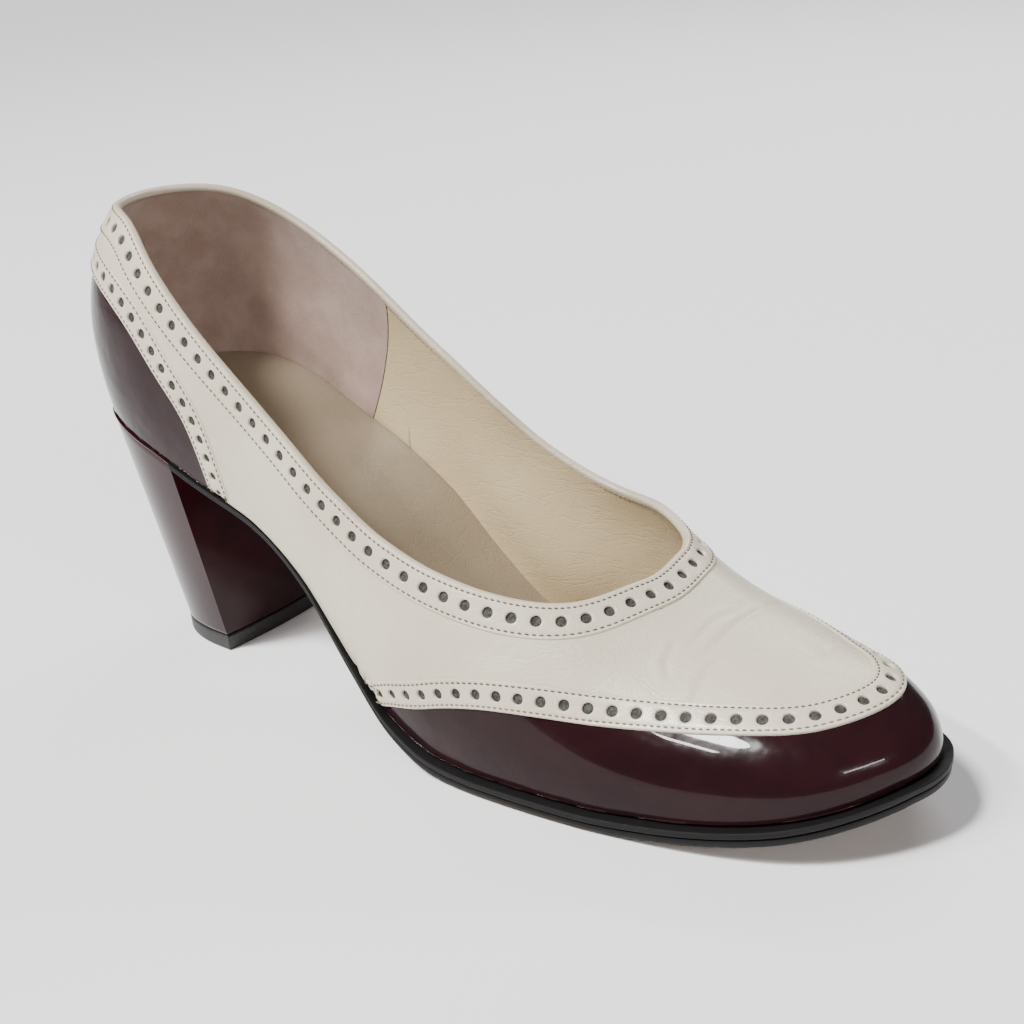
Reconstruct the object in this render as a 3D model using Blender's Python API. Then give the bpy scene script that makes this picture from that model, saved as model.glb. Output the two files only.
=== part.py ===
"""Spectator court shoe with a block heel, right foot, as separate solids.

Metres, +Z up, +X to the toe, +Y to the inner side of the foot.
A point of the last is given by s, its share of the way from heel to toe along the feather line,
and h, which runs from 0 at the outer feather over the ridge at 1 to 2 at the inner feather.
"""
import bmesh
import bpy
import numpy as np

# Driving sizes
LENGTH = 0.235
BALL_WIDTH = 0.073
SEAT_HEIGHT = 0.0698
CONE_HEIGHT = 0.129
TOE_SPRING = 0.0112
SOLE_THICKNESS = 0.0042
WAIST_THICKNESS = 0.0021
SOLE_LIP = 0.0020
WAIST_LIP = 0.0003
SOLE_STEP = 0.0006
WAIST_STEP = 0.0001
WALL = 0.0024
OVERLAY_THICKNESS = 0.0008
OVERLAY_DROP = 0.0003
BAND_RAISE = 0.00035
TOPLINE_BAND = 0.0082
EDGE_BAND = 0.0072
INSOLE_THICKNESS = 0.0035
TOPLIFT_HEIGHT = 0.0044
TOPLIFT_LENGTH = 0.0280
TOPLIFT_WIDTH = 0.0369
TOPLIFT_BACK = 0.0103
BREAST_TOP = 0.0415
BREAST_BULGE = 0.0012
HEEL_SQUARENESS = 2.5
GAP = 0.0003
CHORD_ALLOWANCE = 1.3
PANEL_ROOM = 0.0007

# Plan of the feather line: shares of the length and of the ball width
HEEL_POINT = -0.014
TOE_POINT = 0.089
PLAN_COLUMNS = ("along", "outer", "inner")
PLAN = (
    (0.030, -0.242, 0.193),
    (0.102, -0.391, 0.373),
    (0.204, -0.397, 0.411),
    (0.315, -0.388, 0.380),
    (0.417, -0.434, 0.390),
    (0.532, -0.489, 0.454),
    (0.647, -0.492, 0.508),
    (0.757, -0.456, 0.499),
    (0.851, -0.400, 0.445),
    (0.923, -0.315, 0.343),
    (0.977, -0.160, 0.225),
)

# Height of the feather line: share of the length, of the seat's rise and of the toe spring
PROFILE_COLUMNS = ("along", "rise", "spring")
PROFILE = (
    (0.00, 1.000, 0.00),
    (0.07, 0.985, 0.00),
    (0.14, 0.915, 0.00),
    (0.22, 0.785, 0.00),
    (0.30, 0.672, 0.00),
    (0.37, 0.516, 0.00),
    (0.44, 0.272, 0.00),
    (0.50, 0.088, 0.00),
    (0.56, 0.012, 0.00),
    (0.61, 0.000, 0.00),
    (0.72, 0.000, 0.00),
    (0.80, 0.000, 0.12),
    (0.90, 0.000, 0.44),
    (1.00, 0.000, 1.00),
)

# Ridge of the last: share of the length, of the cone height and of the ball width
RIDGE_COLUMNS = ("along", "height", "side")
RIDGE = (
    (0.060, 0.999, -0.004),
    (0.160, 1.001, 0.012),
    (0.250, 0.968, 0.049),
    (0.340, 0.873, 0.086),
    (0.420, 0.757, 0.123),
    (0.500, 0.652, 0.158),
    (0.580, 0.550, 0.193),
    (0.650, 0.440, 0.216),
    (0.715, 0.340, 0.223),
    (0.760, 0.297, 0.208),
    (0.800, 0.276, 0.188),
    (0.840, 0.262, 0.161),
    (0.880, 0.246, 0.136),
)

# Fullness of the sections: share of the length, squareness and bulge as a share of the ball width
FULLNESS_COLUMNS = ("along", "squareness", "bulge")
FULLNESS = (
    (0.00, 2.00, 0.052),
    (0.10, 2.60, 0.058),
    (0.30, 2.60, 0.062),
    (0.45, 2.50, 0.052),
    (0.60, 2.35, 0.032),
    (0.75, 2.25, 0.018),
    (1.00, 2.30, 0.016),
)
HEEL_CENTRE = 0.125
TOE_CENTRE = 0.885
FAN_SOFTNESS = 0.025
BULGE_SCALE = 1.3

# Lines on the last. Beyond 0 and 1 the value s runs on round the heel and the toe.
LINE_COLUMNS = ("s", "h")
COLLAR_OUTER = (
    (0.000, 0.684),
    (0.080, 0.681),
    (0.160, 0.661),
    (0.205, 0.557),
    (0.245, 0.457),
    (0.285, 0.390),
    (0.335, 0.351),
    (0.400, 0.355),
    (0.455, 0.385),
    (0.512, 0.413),
    (0.570, 0.448),
    (0.620, 0.516),
    (0.658, 0.632),
    (0.681, 0.795),
)
THROAT = 0.687
COLLAR_INNER = (
    (0.680, 0.870),
    (0.652, 0.699),
    (0.602, 0.521),
    (0.545, 0.456),
    (0.485, 0.444),
    (0.427, 0.430),
    (0.370, 0.408),
    (0.312, 0.420),
    (0.255, 0.460),
    (0.195, 0.535),
    (0.140, 0.625),
    (0.075, 0.675),
)
COUNTER_LINE = (
    (-0.314, 0.000),
    (-0.312, 0.130),
    (-0.302, 0.220),
    (-0.275, 0.281),
    (-0.201, 0.352),
    (-0.080, 0.455),
    (0.000, 0.459),
    (0.080, 0.446),
    (0.140, 0.410),
    (0.190, 0.325),
    (0.222, 0.231),
    (0.244, 0.165),
    (0.254, 0.090),
    (0.258, 0.000),
)
WING_LINE = (
    (0.476, 0.000),
    (0.514, 0.075),
    (0.579, 0.166),
    (0.639, 0.238),
    (0.691, 0.313),
    (0.742, 0.383),
    (0.790, 0.438),
    (0.838, 0.493),
    (0.892, 0.538),
    (0.950, 0.572),
    (1.000, 0.590),
    (1.050, 0.585),
    (1.110, 0.562),
    (1.228, 0.455),
    (1.335, 0.272),
    (1.418, 0.160),
    (1.478, 0.078),
    (1.514, 0.000),
)

# Edge of the outsole: inset in shares of its step, and drop in shares of its thickness
SOLE_EDGE_COLUMNS = ("inset", "drop")
SOLE_EDGE = (
    (0.0, 0.00),
    (0.0, 0.45),
    (1.0, 0.45),
    (1.0, 0.85),
    (1.8, 1.00),
)
WAIST_END = 0.30
BALL_START = 0.56
BREAST_BLEND = 0.15

# Fineness of the solids
REAR_STEP = 0.0195
FRONT_STEP = 0.0270
FRONT_START = 0.56
THROAT_COLUMNS = (-0.056, -0.042, -0.029, -0.018, -0.010, -0.0045, -0.0012, 0.010, 0.022, 0.036)
SEAM_COLUMNS = (-0.006, 0.0015, 0.0045, 0.012)
TOE_COLUMNS = (0.915, 0.935, 0.953, 0.970, 0.985)
BAND_END_COLUMN = 0.0013
FINE_ROOM = 0.0010
SPREAD_ROOM = 0.010
ROWS = {"panel": 4, "edge": 3, "body": 6, "topline": 3, "lining": 8}
MARCH_STEPS = 6
CHORD_REACH = 0.002
FINE_SAMPLES = 4001
COLLAR_SAMPLES = 161
SEAM_SAMPLES = 121
CROSSING_ROOM = 0.0005
END_ROOM = 0.001
PANEL_ROWS = 5
ACROSS_SOLE = 5
ROUND_HEEL = 29
ACROSS_BREAST = 7
HEEL_LEVELS = 6
CAP_RINGS = (1.0, 0.75, 0.5, 0.25, 0.0)
MERGE = 1e-7
SLOPE_STEP = 1e-3
RIDGE_BLEND = 0.02

FINISHES = {
    "white_leather": ((0.66, 0.62, 0.56), 0.34),
    "burgundy_patent": ((0.045, 0.008, 0.012), 0.08),
    "black_edge": ((0.012, 0.011, 0.011), 0.42),
    "insole_leather": ((0.40, 0.32, 0.24), 0.55),
    "heel_rubber": ((0.010, 0.010, 0.010), 0.60),
}


def spline_bends(x, y, period=None):
    """Second derivatives of the cubic spline through (x, y), natural or periodic."""
    count = len(x)
    matrix = np.zeros((count, count))
    right = np.zeros(y.shape)
    ends = x if period is None else np.append(x, x[0] + period)
    step = np.diff(ends)
    for i in range(count):
        after = (i + 1) % count
        if period is None and i in (0, count - 1):
            matrix[i, i] = 1.0
            continue
        matrix[i, i - 1] += step[i - 1]
        matrix[i, i] += 2.0 * (step[i - 1] + step[i])
        matrix[i, after] += step[i]
        right[i] = 6.0 * ((y[after] - y[i]) / step[i] - (y[i] - y[i - 1]) / step[i - 1])
    return np.linalg.solve(matrix, right)


def spline(x, y, at, period=None):
    """Cubic spline through (x, y), read at any values."""
    bends = spline_bends(x, y, period)
    at = np.asarray(at, float)
    if period is None:
        at = np.clip(at, x[0], x[-1])
        ends = x
    else:
        at = (at - x[0]) % period + x[0]
        ends = np.append(x, x[0] + period)
    k = np.clip(np.searchsorted(ends, at, side="right") - 1, 0, len(ends) - 2)
    nxt = (k + 1) % len(x)
    spread = (Ellipsis,) + (None,) * (y.ndim - 1)
    width = (ends[k + 1] - ends[k])[spread]
    left = (at - ends[k])[spread]
    rest = (ends[k + 1] - at)[spread]
    curve = (bends[k] * rest**3 + bends[nxt] * left**3) / (6.0 * width)
    start = (y[k] / width - bends[k] * width / 6.0) * rest
    return curve + start + (y[nxt] / width - bends[nxt] * width / 6.0) * left


def steady(x, y, at):
    """Cubic through (x, y) that never overshoots, so level stretches stay level."""
    step = np.diff(x)
    slope = np.diff(y) / step
    near = 2.0 * step[1:] + step[:-1]
    far = step[1:] + 2.0 * step[:-1]
    same = slope[:-1] * slope[1:] > 0.0
    before = np.where(same, slope[:-1], 1.0)
    after = np.where(same, slope[1:], 1.0)
    middle = np.where(same, (near + far) / (near / before + far / after), 0.0)
    tangent = np.concatenate([slope[:1], middle, slope[-1:]])
    k = np.clip(np.searchsorted(x, at) - 1, 0, len(x) - 2)
    t = np.clip((at - x[k]) / step[k], 0.0, 1.0)
    start = y[k] * (1 + 2 * t) * (1 - t) ** 2 + tangent[k] * step[k] * t * (1 - t) ** 2
    return start + y[k + 1] * t * t * (3 - 2 * t) + tangent[k + 1] * step[k] * t * t * (t - 1)


def column(table, names, name):
    """One column of a table as an array, by its name."""
    return np.array([row[names.index(name)] for row in table])


def plan_loop():
    """Points of the closed feather outline and the length along it of each."""
    along, outer, inner = (column(PLAN, PLAN_COLUMNS, name) for name in PLAN_COLUMNS)
    there, back = np.stack([along, outer], axis=1), np.stack([along, inner], axis=1)[::-1]
    points = np.vstack([(0.0, HEEL_POINT), there, (1.0, TOE_POINT), back]) * (LENGTH, BALL_WIDTH)
    closed = np.vstack([points, points[:1]])
    along = np.append(0.0, np.cumsum(np.hypot(*np.diff(closed, axis=0).T)))
    return points, along[:-1], along[-1]


PLAN_POINTS, PLAN_ALONG, PLAN_AROUND = plan_loop()
TOE_ALONG = PLAN_ALONG[len(PLAN) + 1]


def feather(s, inner):
    """Plan of the feather line at s, on the inner or outer side."""
    back_way = PLAN_AROUND - s * (PLAN_AROUND - TOE_ALONG)
    return spline(PLAN_ALONG, PLAN_POINTS, np.where(inner, back_way, s * TOE_ALONG), PLAN_AROUND)


def feather_height(x):
    """Height of the feather line: heel seat, shank, flat tread and toe spring."""
    along = np.asarray(x) / LENGTH
    knots, rise, spring = (column(PROFILE, PROFILE_COLUMNS, name) for name in PROFILE_COLUMNS)
    lift = steady(knots, rise, along) * (SEAT_HEIGHT - SOLE_THICKNESS)
    return SOLE_THICKNESS + lift + steady(knots, spring, along) * TOE_SPRING


def ridge(s):
    """Top line of the last, which stops short of heel and toe so that sections fan out there."""
    mean = 0.5 * (feather(s, False)[..., 0] + feather(s, True)[..., 0]) / LENGTH
    soft = FAN_SOFTNESS
    x = HEEL_CENTRE + soft * np.logaddexp(0.0, (mean - HEEL_CENTRE) / soft)
    x = TOE_CENTRE - soft * np.logaddexp(0.0, (TOE_CENTRE - x) / soft)
    knots, height, side = (column(RIDGE, RIDGE_COLUMNS, name) for name in RIDGE_COLUMNS)
    side = spline(knots, side, x) * BALL_WIDTH
    height = spline(knots, height, x) * CONE_HEIGHT
    return np.stack([x * LENGTH, side, height], axis=-1)


def last_point(s, h):
    """Point of the last: a squared quarter ellipse from feather to ridge, with a bulge low down."""
    s, h = np.broadcast_arrays(np.asarray(s, float), np.asarray(h, float))
    h = np.where(s < 0.0, 2.0 - h, h)
    s = np.abs(s)
    h = np.where(s > 1.0, 2.0 - h, h)
    s = np.where(s > 1.0, 2.0 - s, s)
    inner = h > 1.0
    up = np.where(inner, 2.0 - h, h)
    foot = feather(s, inner)
    top = ridge(s)
    along = foot[..., 0] / LENGTH
    knots, square, swell = (column(FULLNESS, FULLNESS_COLUMNS, name) for name in FULLNESS_COLUMNS)
    squareness = spline(knots, square, along)
    bulge = spline(knots, swell, along) * BALL_WIDTH * BULGE_SCALE
    across = top[..., :2] - foot
    reach = np.hypot(across[..., 0], across[..., 1])
    angle = up * np.pi / 2.0
    share = 1.0 - np.abs(np.cos(angle)) ** (2.0 / squareness)
    share = share - bulge / reach * np.sin(np.pi * up) * np.sqrt(np.clip(1.0 - up, 0.0, 1.0))
    low = feather_height(foot[..., 0])
    height = low + (top[..., 2] - low) * np.sin(angle)
    return np.concatenate([foot + share[..., None] * across, height[..., None]], axis=-1)


def slopes(s, h):
    """Change of the last with s and with h."""
    low = np.clip(h - SLOPE_STEP, 0.0, 2.0)
    high = np.clip(h + SLOPE_STEP, 0.0, 2.0)
    by_h = (last_point(s, high) - last_point(s, low)) / (high - low)[..., None]
    by_s = (last_point(s + SLOPE_STEP, h) - last_point(s - SLOPE_STEP, h)) / (2.0 * SLOPE_STEP)
    return by_s, by_h


def outward(s, h):
    """Unit normal of the last, pointing out. On the ridge it is the mean of both sides."""
    s, h = np.broadcast_arrays(np.asarray(s, float), np.asarray(h, float))
    total = np.zeros(s.shape + (3,))
    for shift in (-RIDGE_BLEND, RIDGE_BLEND):
        near_ridge = np.abs(h - 1.0) < RIDGE_BLEND
        by_s, by_h = slopes(s, np.where(near_ridge, 1.0 + shift, h))
        normal = np.cross(by_s, by_h)
        total += normal / np.linalg.norm(normal, axis=-1, keepdims=True)
    return total / np.linalg.norm(total, axis=-1, keepdims=True)


def raised(s, h, height):
    """Point at a height over the last. At the feather it stays on the feather's own level."""
    s, h = np.broadcast_arrays(np.asarray(s, float), np.asarray(h, float))
    point = last_point(s, h) + outward(s, h) * np.asarray(height, float)[..., None]
    at_foot = (h == 0.0) | (h == 2.0)
    point[..., 2] = np.where(at_foot, feather_height(point[..., 0]), point[..., 2])
    return point


def shifted(curve, width, to_right):
    """Line on the last beside another, at a width measured over the surface."""
    moved = np.array(curve, float)
    for _ in range(MARCH_STEPS):
        by_s, by_h = slopes(moved[:, 0], moved[:, 1])
        run = np.gradient(last_point(curve[:, 0], curve[:, 1]), axis=0)
        normal = outward(moved[:, 0], moved[:, 1])
        side = np.cross(run, normal) if to_right else np.cross(normal, run)
        side *= (width / MARCH_STEPS) / np.linalg.norm(side, axis=1, keepdims=True)
        ss = np.sum(by_s * by_s, axis=1)
        sh = np.sum(by_s * by_h, axis=1)
        hh = np.sum(by_h * by_h, axis=1)
        ds = np.sum(by_s * side, axis=1)
        dh = np.sum(by_h * side, axis=1)
        det = ss * hh - sh * sh
        moved = moved + np.stack([(hh * ds - sh * dh) / det, (ss * dh - sh * ds) / det], axis=1)
    return moved


def collar_curve(count):
    """Top edge of the upper as (s, h) from the back, round the throat and back again."""
    outer = [(s, h) for s, h in COLLAR_OUTER]
    inner = [(s, 2.0 - h) for s, h in COLLAR_INNER]
    lead = [(-s, h) for s, h in COLLAR_INNER[-2:]]
    tail = [(-s, 2.0 - h) for s, h in COLLAR_OUTER[:3]]
    knots = np.array(lead + outer + [(THROAT, 1.0)] + inner + tail)
    run = np.append(0.0, np.cumsum(np.linalg.norm(np.diff(last_point(*knots.T), axis=0), axis=1)))
    start, end = run[1], run[-2]
    return spline(run, knots, np.linspace(start, end, count))


def foot_gap(x):
    """Upright clearance under the feather line: the gap square to the slope, and room for chords."""
    ahead, here, behind = (feather_height(x + move) for move in (CHORD_REACH, 0.0, -CHORD_REACH))
    slope = (ahead - behind) / (2.0 * CHORD_REACH)
    bend = np.abs(ahead - 2.0 * here + behind) / CHORD_REACH**2
    return GAP * np.sqrt(1.0 + slope * slope) + bend * (REAR_STEP * LENGTH) ** 2 / 8.0


def line_over(table, s):
    """Height of a seam line at s, and 0 where the line has run into the feather."""
    knots, heights = (column(table, LINE_COLUMNS, name) for name in LINE_COLUMNS)
    inside = (s > knots[0]) & (s < knots[-1])
    return np.where(inside, steady(knots, heights, np.clip(s, knots[0], knots[-1])), 0.0)


def read_curve(curve, s, before, after):
    """Height of a free curve at s, with its value before and after its ends."""
    order = np.argsort(curve[:, 0])
    return np.interp(s, curve[order, 0], curve[order, 1], left=before, right=after)


def edge_band_curve(table):
    """Upper edge of the perforated band that borders a burgundy panel."""
    knots = column(table, LINE_COLUMNS, "s")
    s = np.linspace(knots[0], knots[-1], SEAM_SAMPLES)
    curve = np.stack([s, np.maximum(line_over(table, s), 0.0)], axis=1)
    band = shifted(curve, EDGE_BAND, False)
    return band[(band[:, 1] > 0.0)]


def over_ridge(curve):
    """Value of s where a curve that goes round the throat crosses the ridge."""
    order = np.argsort(curve[:, 1])
    return float(np.interp(1.0, curve[order, 1], curve[order, 0]))


def one_side(curve, inner, crossing, s):
    """Height up from the foot of a collar curve at s, on one side of the shoe."""
    half = curve[curve[:, 1] > 1.0] if inner else curve[curve[:, 1] < 1.0]
    half = half[half[:, 0] < crossing - CROSSING_ROOM]
    height = 2.0 - half[:, 1] if inner else half[:, 1]
    knots = np.vstack([np.stack([half[:, 0], height], axis=1), [crossing, 1.0]])
    return np.where(s >= crossing, 1.0, np.minimum(read_curve(knots, s, None, 1.0), 1.0))


def side_levels(s, inner, collar, band):
    """Heights h of the seams at s on one side: panel, edge band, topline band and collar."""
    along = -s if inner else s
    past_toe = 2.0 - s if inner else s
    panel = line_over(COUNTER_LINE, along) + line_over(WING_LINE, past_toe)
    edge = read_curve(edge_band_curve(COUNTER_LINE), along, 0.0, 0.0)
    edge = edge + read_curve(edge_band_curve(WING_LINE), past_toe, 0.0, 0.0)
    rim = one_side(collar, inner, THROAT, s)
    low = one_side(band, inner, over_ridge(band), s)
    at_back = np.zeros(1)
    rim[s == 0.0] = one_side(collar, False, THROAT, at_back)
    low[s == 0.0] = one_side(band, False, over_ridge(band), at_back)
    low = np.minimum(low, rim)
    return panel, np.clip(edge, panel, low), low, rim


def upper_columns(band_end):
    """Values of s for the columns of the upper, closer where a seam turns."""
    ends = [(abs(COUNTER_LINE[k][0]), -1.0) for k in (0, -1)]
    ends += [(WING_LINE[0][0], 1.0), (2.0 - WING_LINE[-1][0], 1.0)]
    exact = [0.0, 1.0, THROAT, band_end - BAND_END_COLUMN, band_end] + [end for end, _ in ends]
    fine = [THROAT + move for move in THROAT_COLUMNS]
    fine += [end + way * move for end, way in ends for move in SEAM_COLUMNS]
    fine += TOE_COLUMNS
    spread = list(np.arange(0.0, FRONT_START, REAR_STEP)) + list(np.arange(FRONT_START, 1.0, FRONT_STEP))
    kept = sorted(exact)
    for group, room in ((fine, FINE_ROOM), (spread, SPREAD_ROOM)):
        for value in group:
            if min(abs(value - other) for other in kept) > room:
                kept.append(value)
    return np.array(sorted(kept))


def grid_mesh(name, sheets):
    """Mesh from grids of points, with points that meet merged."""
    mesh = bmesh.new()
    for points in sheets:
        rows, cols = points.shape[:2]
        verts = [[mesh.verts.new(points[i, j]) for j in range(cols)] for i in range(rows)]
        for i in range(rows - 1):
            for j in range(cols - 1):
                mesh.faces.new((verts[i][j], verts[i + 1][j], verts[i + 1][j + 1], verts[i][j + 1]))
    bmesh.ops.remove_doubles(mesh, verts=mesh.verts, dist=MERGE)
    bmesh.ops.dissolve_degenerate(mesh, edges=mesh.edges, dist=MERGE)
    bmesh.ops.triangulate(mesh, faces=mesh.faces)
    bmesh.ops.recalc_face_normals(mesh, faces=mesh.faces)
    data = bpy.data.meshes.new(name)
    mesh.to_mesh(data)
    mesh.free()
    return data


def add_object(name, finish, sheets):
    """Object of one sub-part with its own material."""
    data = grid_mesh(name, sheets)
    colour, roughness = FINISHES[finish]
    material = bpy.data.materials.new(finish + "_" + name)
    material.use_nodes = True
    shader = material.node_tree.nodes["Principled BSDF"]
    shader.inputs["Base Color"].default_value = colour + (1.0,)
    shader.inputs["Roughness"].default_value = roughness
    data.materials.append(material)
    thing = bpy.data.objects.new(name, data)
    bpy.context.scene.collection.objects.link(thing)
    return thing


def stretch(low, high, count):
    """Values from low to high for each column, as an array of columns by count."""
    share = np.linspace(0.0, 1.0, count)
    return low[:, None] + (high - low)[:, None] * share


def upper_side(s, inner, collar, band):
    """Closed section of the upper at each s: outside from foot to collar, then inside back down."""
    panel, edge, low, rim = side_levels(s, inner, collar, band)
    band_level = np.where(low < 1.0, BAND_RAISE, 0.0)
    body_level = np.where(low - edge > 0.0, 0.0, band_level)
    edge_level = np.where(edge - panel > 0.0, band_level, body_level)
    recess = -(OVERLAY_DROP + OVERLAY_THICKNESS + GAP)
    floor_level = np.where(panel > 0.0, recess, edge_level)
    parts = (
        ("panel", 0.0 * panel, panel, floor_level),
        ("edge", panel, edge, edge_level),
        ("body", edge, low, body_level),
        ("topline", low, rim, band_level),
        ("lining", rim, 0.0 * rim, np.full(s.shape, -WALL)),
    )
    heights = np.hstack([stretch(a, b, ROWS[name]) for name, a, b, _ in parts])
    levels = np.hstack([np.repeat(level[:, None], ROWS[name], axis=1) for name, _, _, level in parts])
    h = 2.0 - heights if inner else heights
    return raised(np.broadcast_to(s[:, None], h.shape), h, levels)


def build_upper(columns, collar, band):
    """Hollow upper, open at the collar and underneath, stepped where bands and panels lie."""
    s = columns
    sheets = []
    rim_at = sum(ROWS.values()) - ROWS["lining"]
    for inner in (False, True):
        points = upper_side(s, inner, collar, band)
        outside, inside = points[:, :rim_at], points[:, rim_at:]
        open_part = s <= THROAT
        rim = np.stack([outside[open_part, -1], inside[open_part, 0]], axis=1)
        foot = np.stack([inside[:, -1], outside[:, 0]], axis=1)
        sheets += [outside, inside, rim, foot]
    return add_object("upper", "white_leather", sheets)


def panel_sheets(s, line):
    """Sheets of a burgundy panel from the foot up to its line, between two levels of the last."""
    top = -OVERLAY_DROP
    bottom = top - OVERLAY_THICKNESS
    heights = stretch(np.zeros(s.shape), line, PANEL_ROWS)
    wide = np.broadcast_to(s[:, None], heights.shape)
    outside = raised(wide, heights, np.full(heights.shape, top))
    inside = raised(wide, heights, np.full(heights.shape, bottom))
    edges = [np.stack([outside[:, k], inside[:, k]], axis=1) for k in (0, -1)]
    return [outside, inside] + edges


def panel_line(table, columns, s):
    """Line of a panel, held off the recess in the upper by the gap on every side."""
    knots = line_over(table, columns)
    side = np.linspace(-1.0, 1.0, 5) * PANEL_ROOM / LENGTH
    lowest = np.min([np.interp(s + move, columns, knots, 0.0, 0.0) for move in side], axis=0)
    _, by_h = slopes(s, lowest)
    return np.clip(lowest - CHORD_ALLOWANCE * GAP / np.linalg.norm(by_h, axis=-1), 0.0, None)


def build_panel(name, table, columns):
    """Burgundy panel under the white: the winged toe or the counter."""
    around = np.concatenate([-columns[:0:-1], columns, 2.0 - columns[-2::-1]])
    knots = column(table, LINE_COLUMNS, "s")
    fine = np.linspace(knots[0], knots[-1], 2 * FINE_SAMPLES)
    held = fine[panel_line(table, around, fine) > 0.0]
    middle = around[(around > held[0] + END_ROOM) & (around < held[-1] - END_ROOM)]
    s = np.concatenate([held[:1], middle, held[-1:]])
    line = panel_line(table, around, s)
    line[[0, -1]] = 0.0
    return add_object(name, "burgundy_patent", panel_sheets(s, line))


def edge_points(s, inner, offset):
    """Feather outline moved outwards by an offset."""
    here = feather(s, np.full(s.shape, inner))
    ahead = feather(np.clip(s + SLOPE_STEP, 0.0, 1.0), np.full(s.shape, inner))
    behind = feather(np.clip(s - SLOPE_STEP, 0.0, 1.0), np.full(s.shape, inner))
    run = ahead - behind
    side = -1.0 if inner else 1.0
    normal = np.stack([run[:, 1], -run[:, 0]], axis=1) * side
    at_end = (s <= 0.0) | (s >= 1.0)
    straight = np.stack([np.where(s <= 0.0, -1.0, 1.0), np.zeros(s.shape)], axis=1)
    normal = np.where(at_end[:, None], straight, normal)
    return here + normal / np.linalg.norm(normal, axis=1, keepdims=True) * np.asarray(offset)[..., None]


def breast_x(corner, across):
    """Front face of the heel, slightly bulged from its corner at across -1 to its corner at across 1."""
    return corner + BREAST_BULGE * (1.0 - across**2)


def sole_amount(x, at_waist, at_ball):
    """A size of the sole that grows from the waist to the ball."""
    share = np.clip((x / LENGTH - WAIST_END) / (BALL_START - WAIST_END), 0.0, 1.0)
    return at_waist + (at_ball - at_waist) * share * share * (3.0 - 2.0 * share)


def sole_height(x, drop):
    """Height in the outsole at x, from its top at drop 0 to its tread at drop 1."""
    thick = sole_amount(x, WAIST_THICKNESS, SOLE_THICKNESS)
    gap = foot_gap(x)
    return feather_height(x) - gap - drop * (thick - gap)


def build_outsole(columns):
    """Outsole from the heel breast to the toe, with a stepped edge and a flat tread."""
    fine = np.linspace(0.0, 1.0, FINE_SAMPLES)
    front = BREAST_TOP + CHORD_ALLOWANCE * GAP
    plans = [feather(fine, np.full(fine.shape, inner)) for inner in (False, True)]
    starts = [fine[np.argmax(plan[:, 0] > front)] for plan in plans]
    base = max(starts)
    shared = np.append(base, columns[columns > base + SPREAD_ROOM / 2.0])
    insets, drops = (column(SOLE_EDGE, SOLE_EDGE_COLUMNS, name) for name in SOLE_EDGE_COLUMNS)
    rings = []
    for inner in (False, True):
        fade = np.clip(1.0 - (shared - base) / BREAST_BLEND, 0.0, 1.0) ** 2
        s = shared + (starts[inner] - base) * fade
        x = feather(s, np.full(s.shape, inner))[:, 0]
        lip = sole_amount(x, WAIST_LIP, SOLE_LIP)
        step = sole_amount(x, WAIST_STEP, SOLE_STEP)
        side = []
        for inset, drop in zip(insets, drops):
            plan = edge_points(s, inner, lip - inset * step)
            plan[0, 0] = front
            side.append(np.column_stack([plan, sole_height(plan[:, 0], drop)]))
        rings.append(side)
    share = np.linspace(0.0, 1.0, ACROSS_SOLE)
    across = []
    for outer, inner in zip(*rings):
        across.append(outer[:, None, :] + (inner - outer)[:, None, :] * share[None, :, None])
    for sheet, drop in zip(across, drops):
        sheet[0, :, 0] = breast_x(front, 2.0 * share - 1.0)
        sheet[..., 2] = sole_height(sheet[..., 0], drop)
    sheets = [across[0], across[-1], np.stack([sheet[0] for sheet in across], axis=0)]
    sheets += [np.stack(side, axis=1) for side in rings]
    return add_object("outsole", "black_edge", sheets)


def build_insole(columns):
    """Sock board inside the upper, lying on the heel seat and the outsole."""
    s = columns
    rings = []
    for inner in (False, True):
        plan = edge_points(s, inner, np.full(s.shape, -(WALL + GAP + BAND_RAISE)))
        rings.append(plan)
    share = np.linspace(0.0, 1.0, ACROSS_SOLE)[None, :, None]
    sheets = []
    for lift in (INSOLE_THICKNESS, 0.0):
        plan = rings[0][:, None, :] + (rings[1] - rings[0])[:, None, :] * share
        height = feather_height(plan[..., 0]) + lift
        sheets.append(np.concatenate([plan, height[..., None]], axis=2))
    for k in (0, -1):
        sheets.append(np.stack([sheets[0][:, k], sheets[1][:, k]], axis=1))
    return add_object("insole", "insole_leather", sheets)


def toplift_outline(turn):
    """Outline of the heel's foot: a rounded back from corner to corner, then the breast."""
    angle, across = turn
    half = TOPLIFT_WIDTH / 2.0
    power = 2.0 / HEEL_SQUARENESS
    back = TOPLIFT_BACK + TOPLIFT_LENGTH * (1.0 - np.abs(np.cos(angle)) ** power)
    rounded = np.stack([back, half * np.sign(np.sin(angle)) * np.abs(np.sin(angle)) ** power], axis=1)
    breast = np.stack([breast_x(TOPLIFT_BACK + TOPLIFT_LENGTH, across), across * half], axis=1)
    return np.vstack([rounded, breast])


def heel_turn():
    """Angles round the back of the heel and shares across its breast."""
    angle = np.linspace(-np.pi / 2.0, np.pi / 2.0, ROUND_HEEL)
    across = np.linspace(1.0, -1.0, ACROSS_BREAST)[1:-1]
    return angle, across


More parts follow.
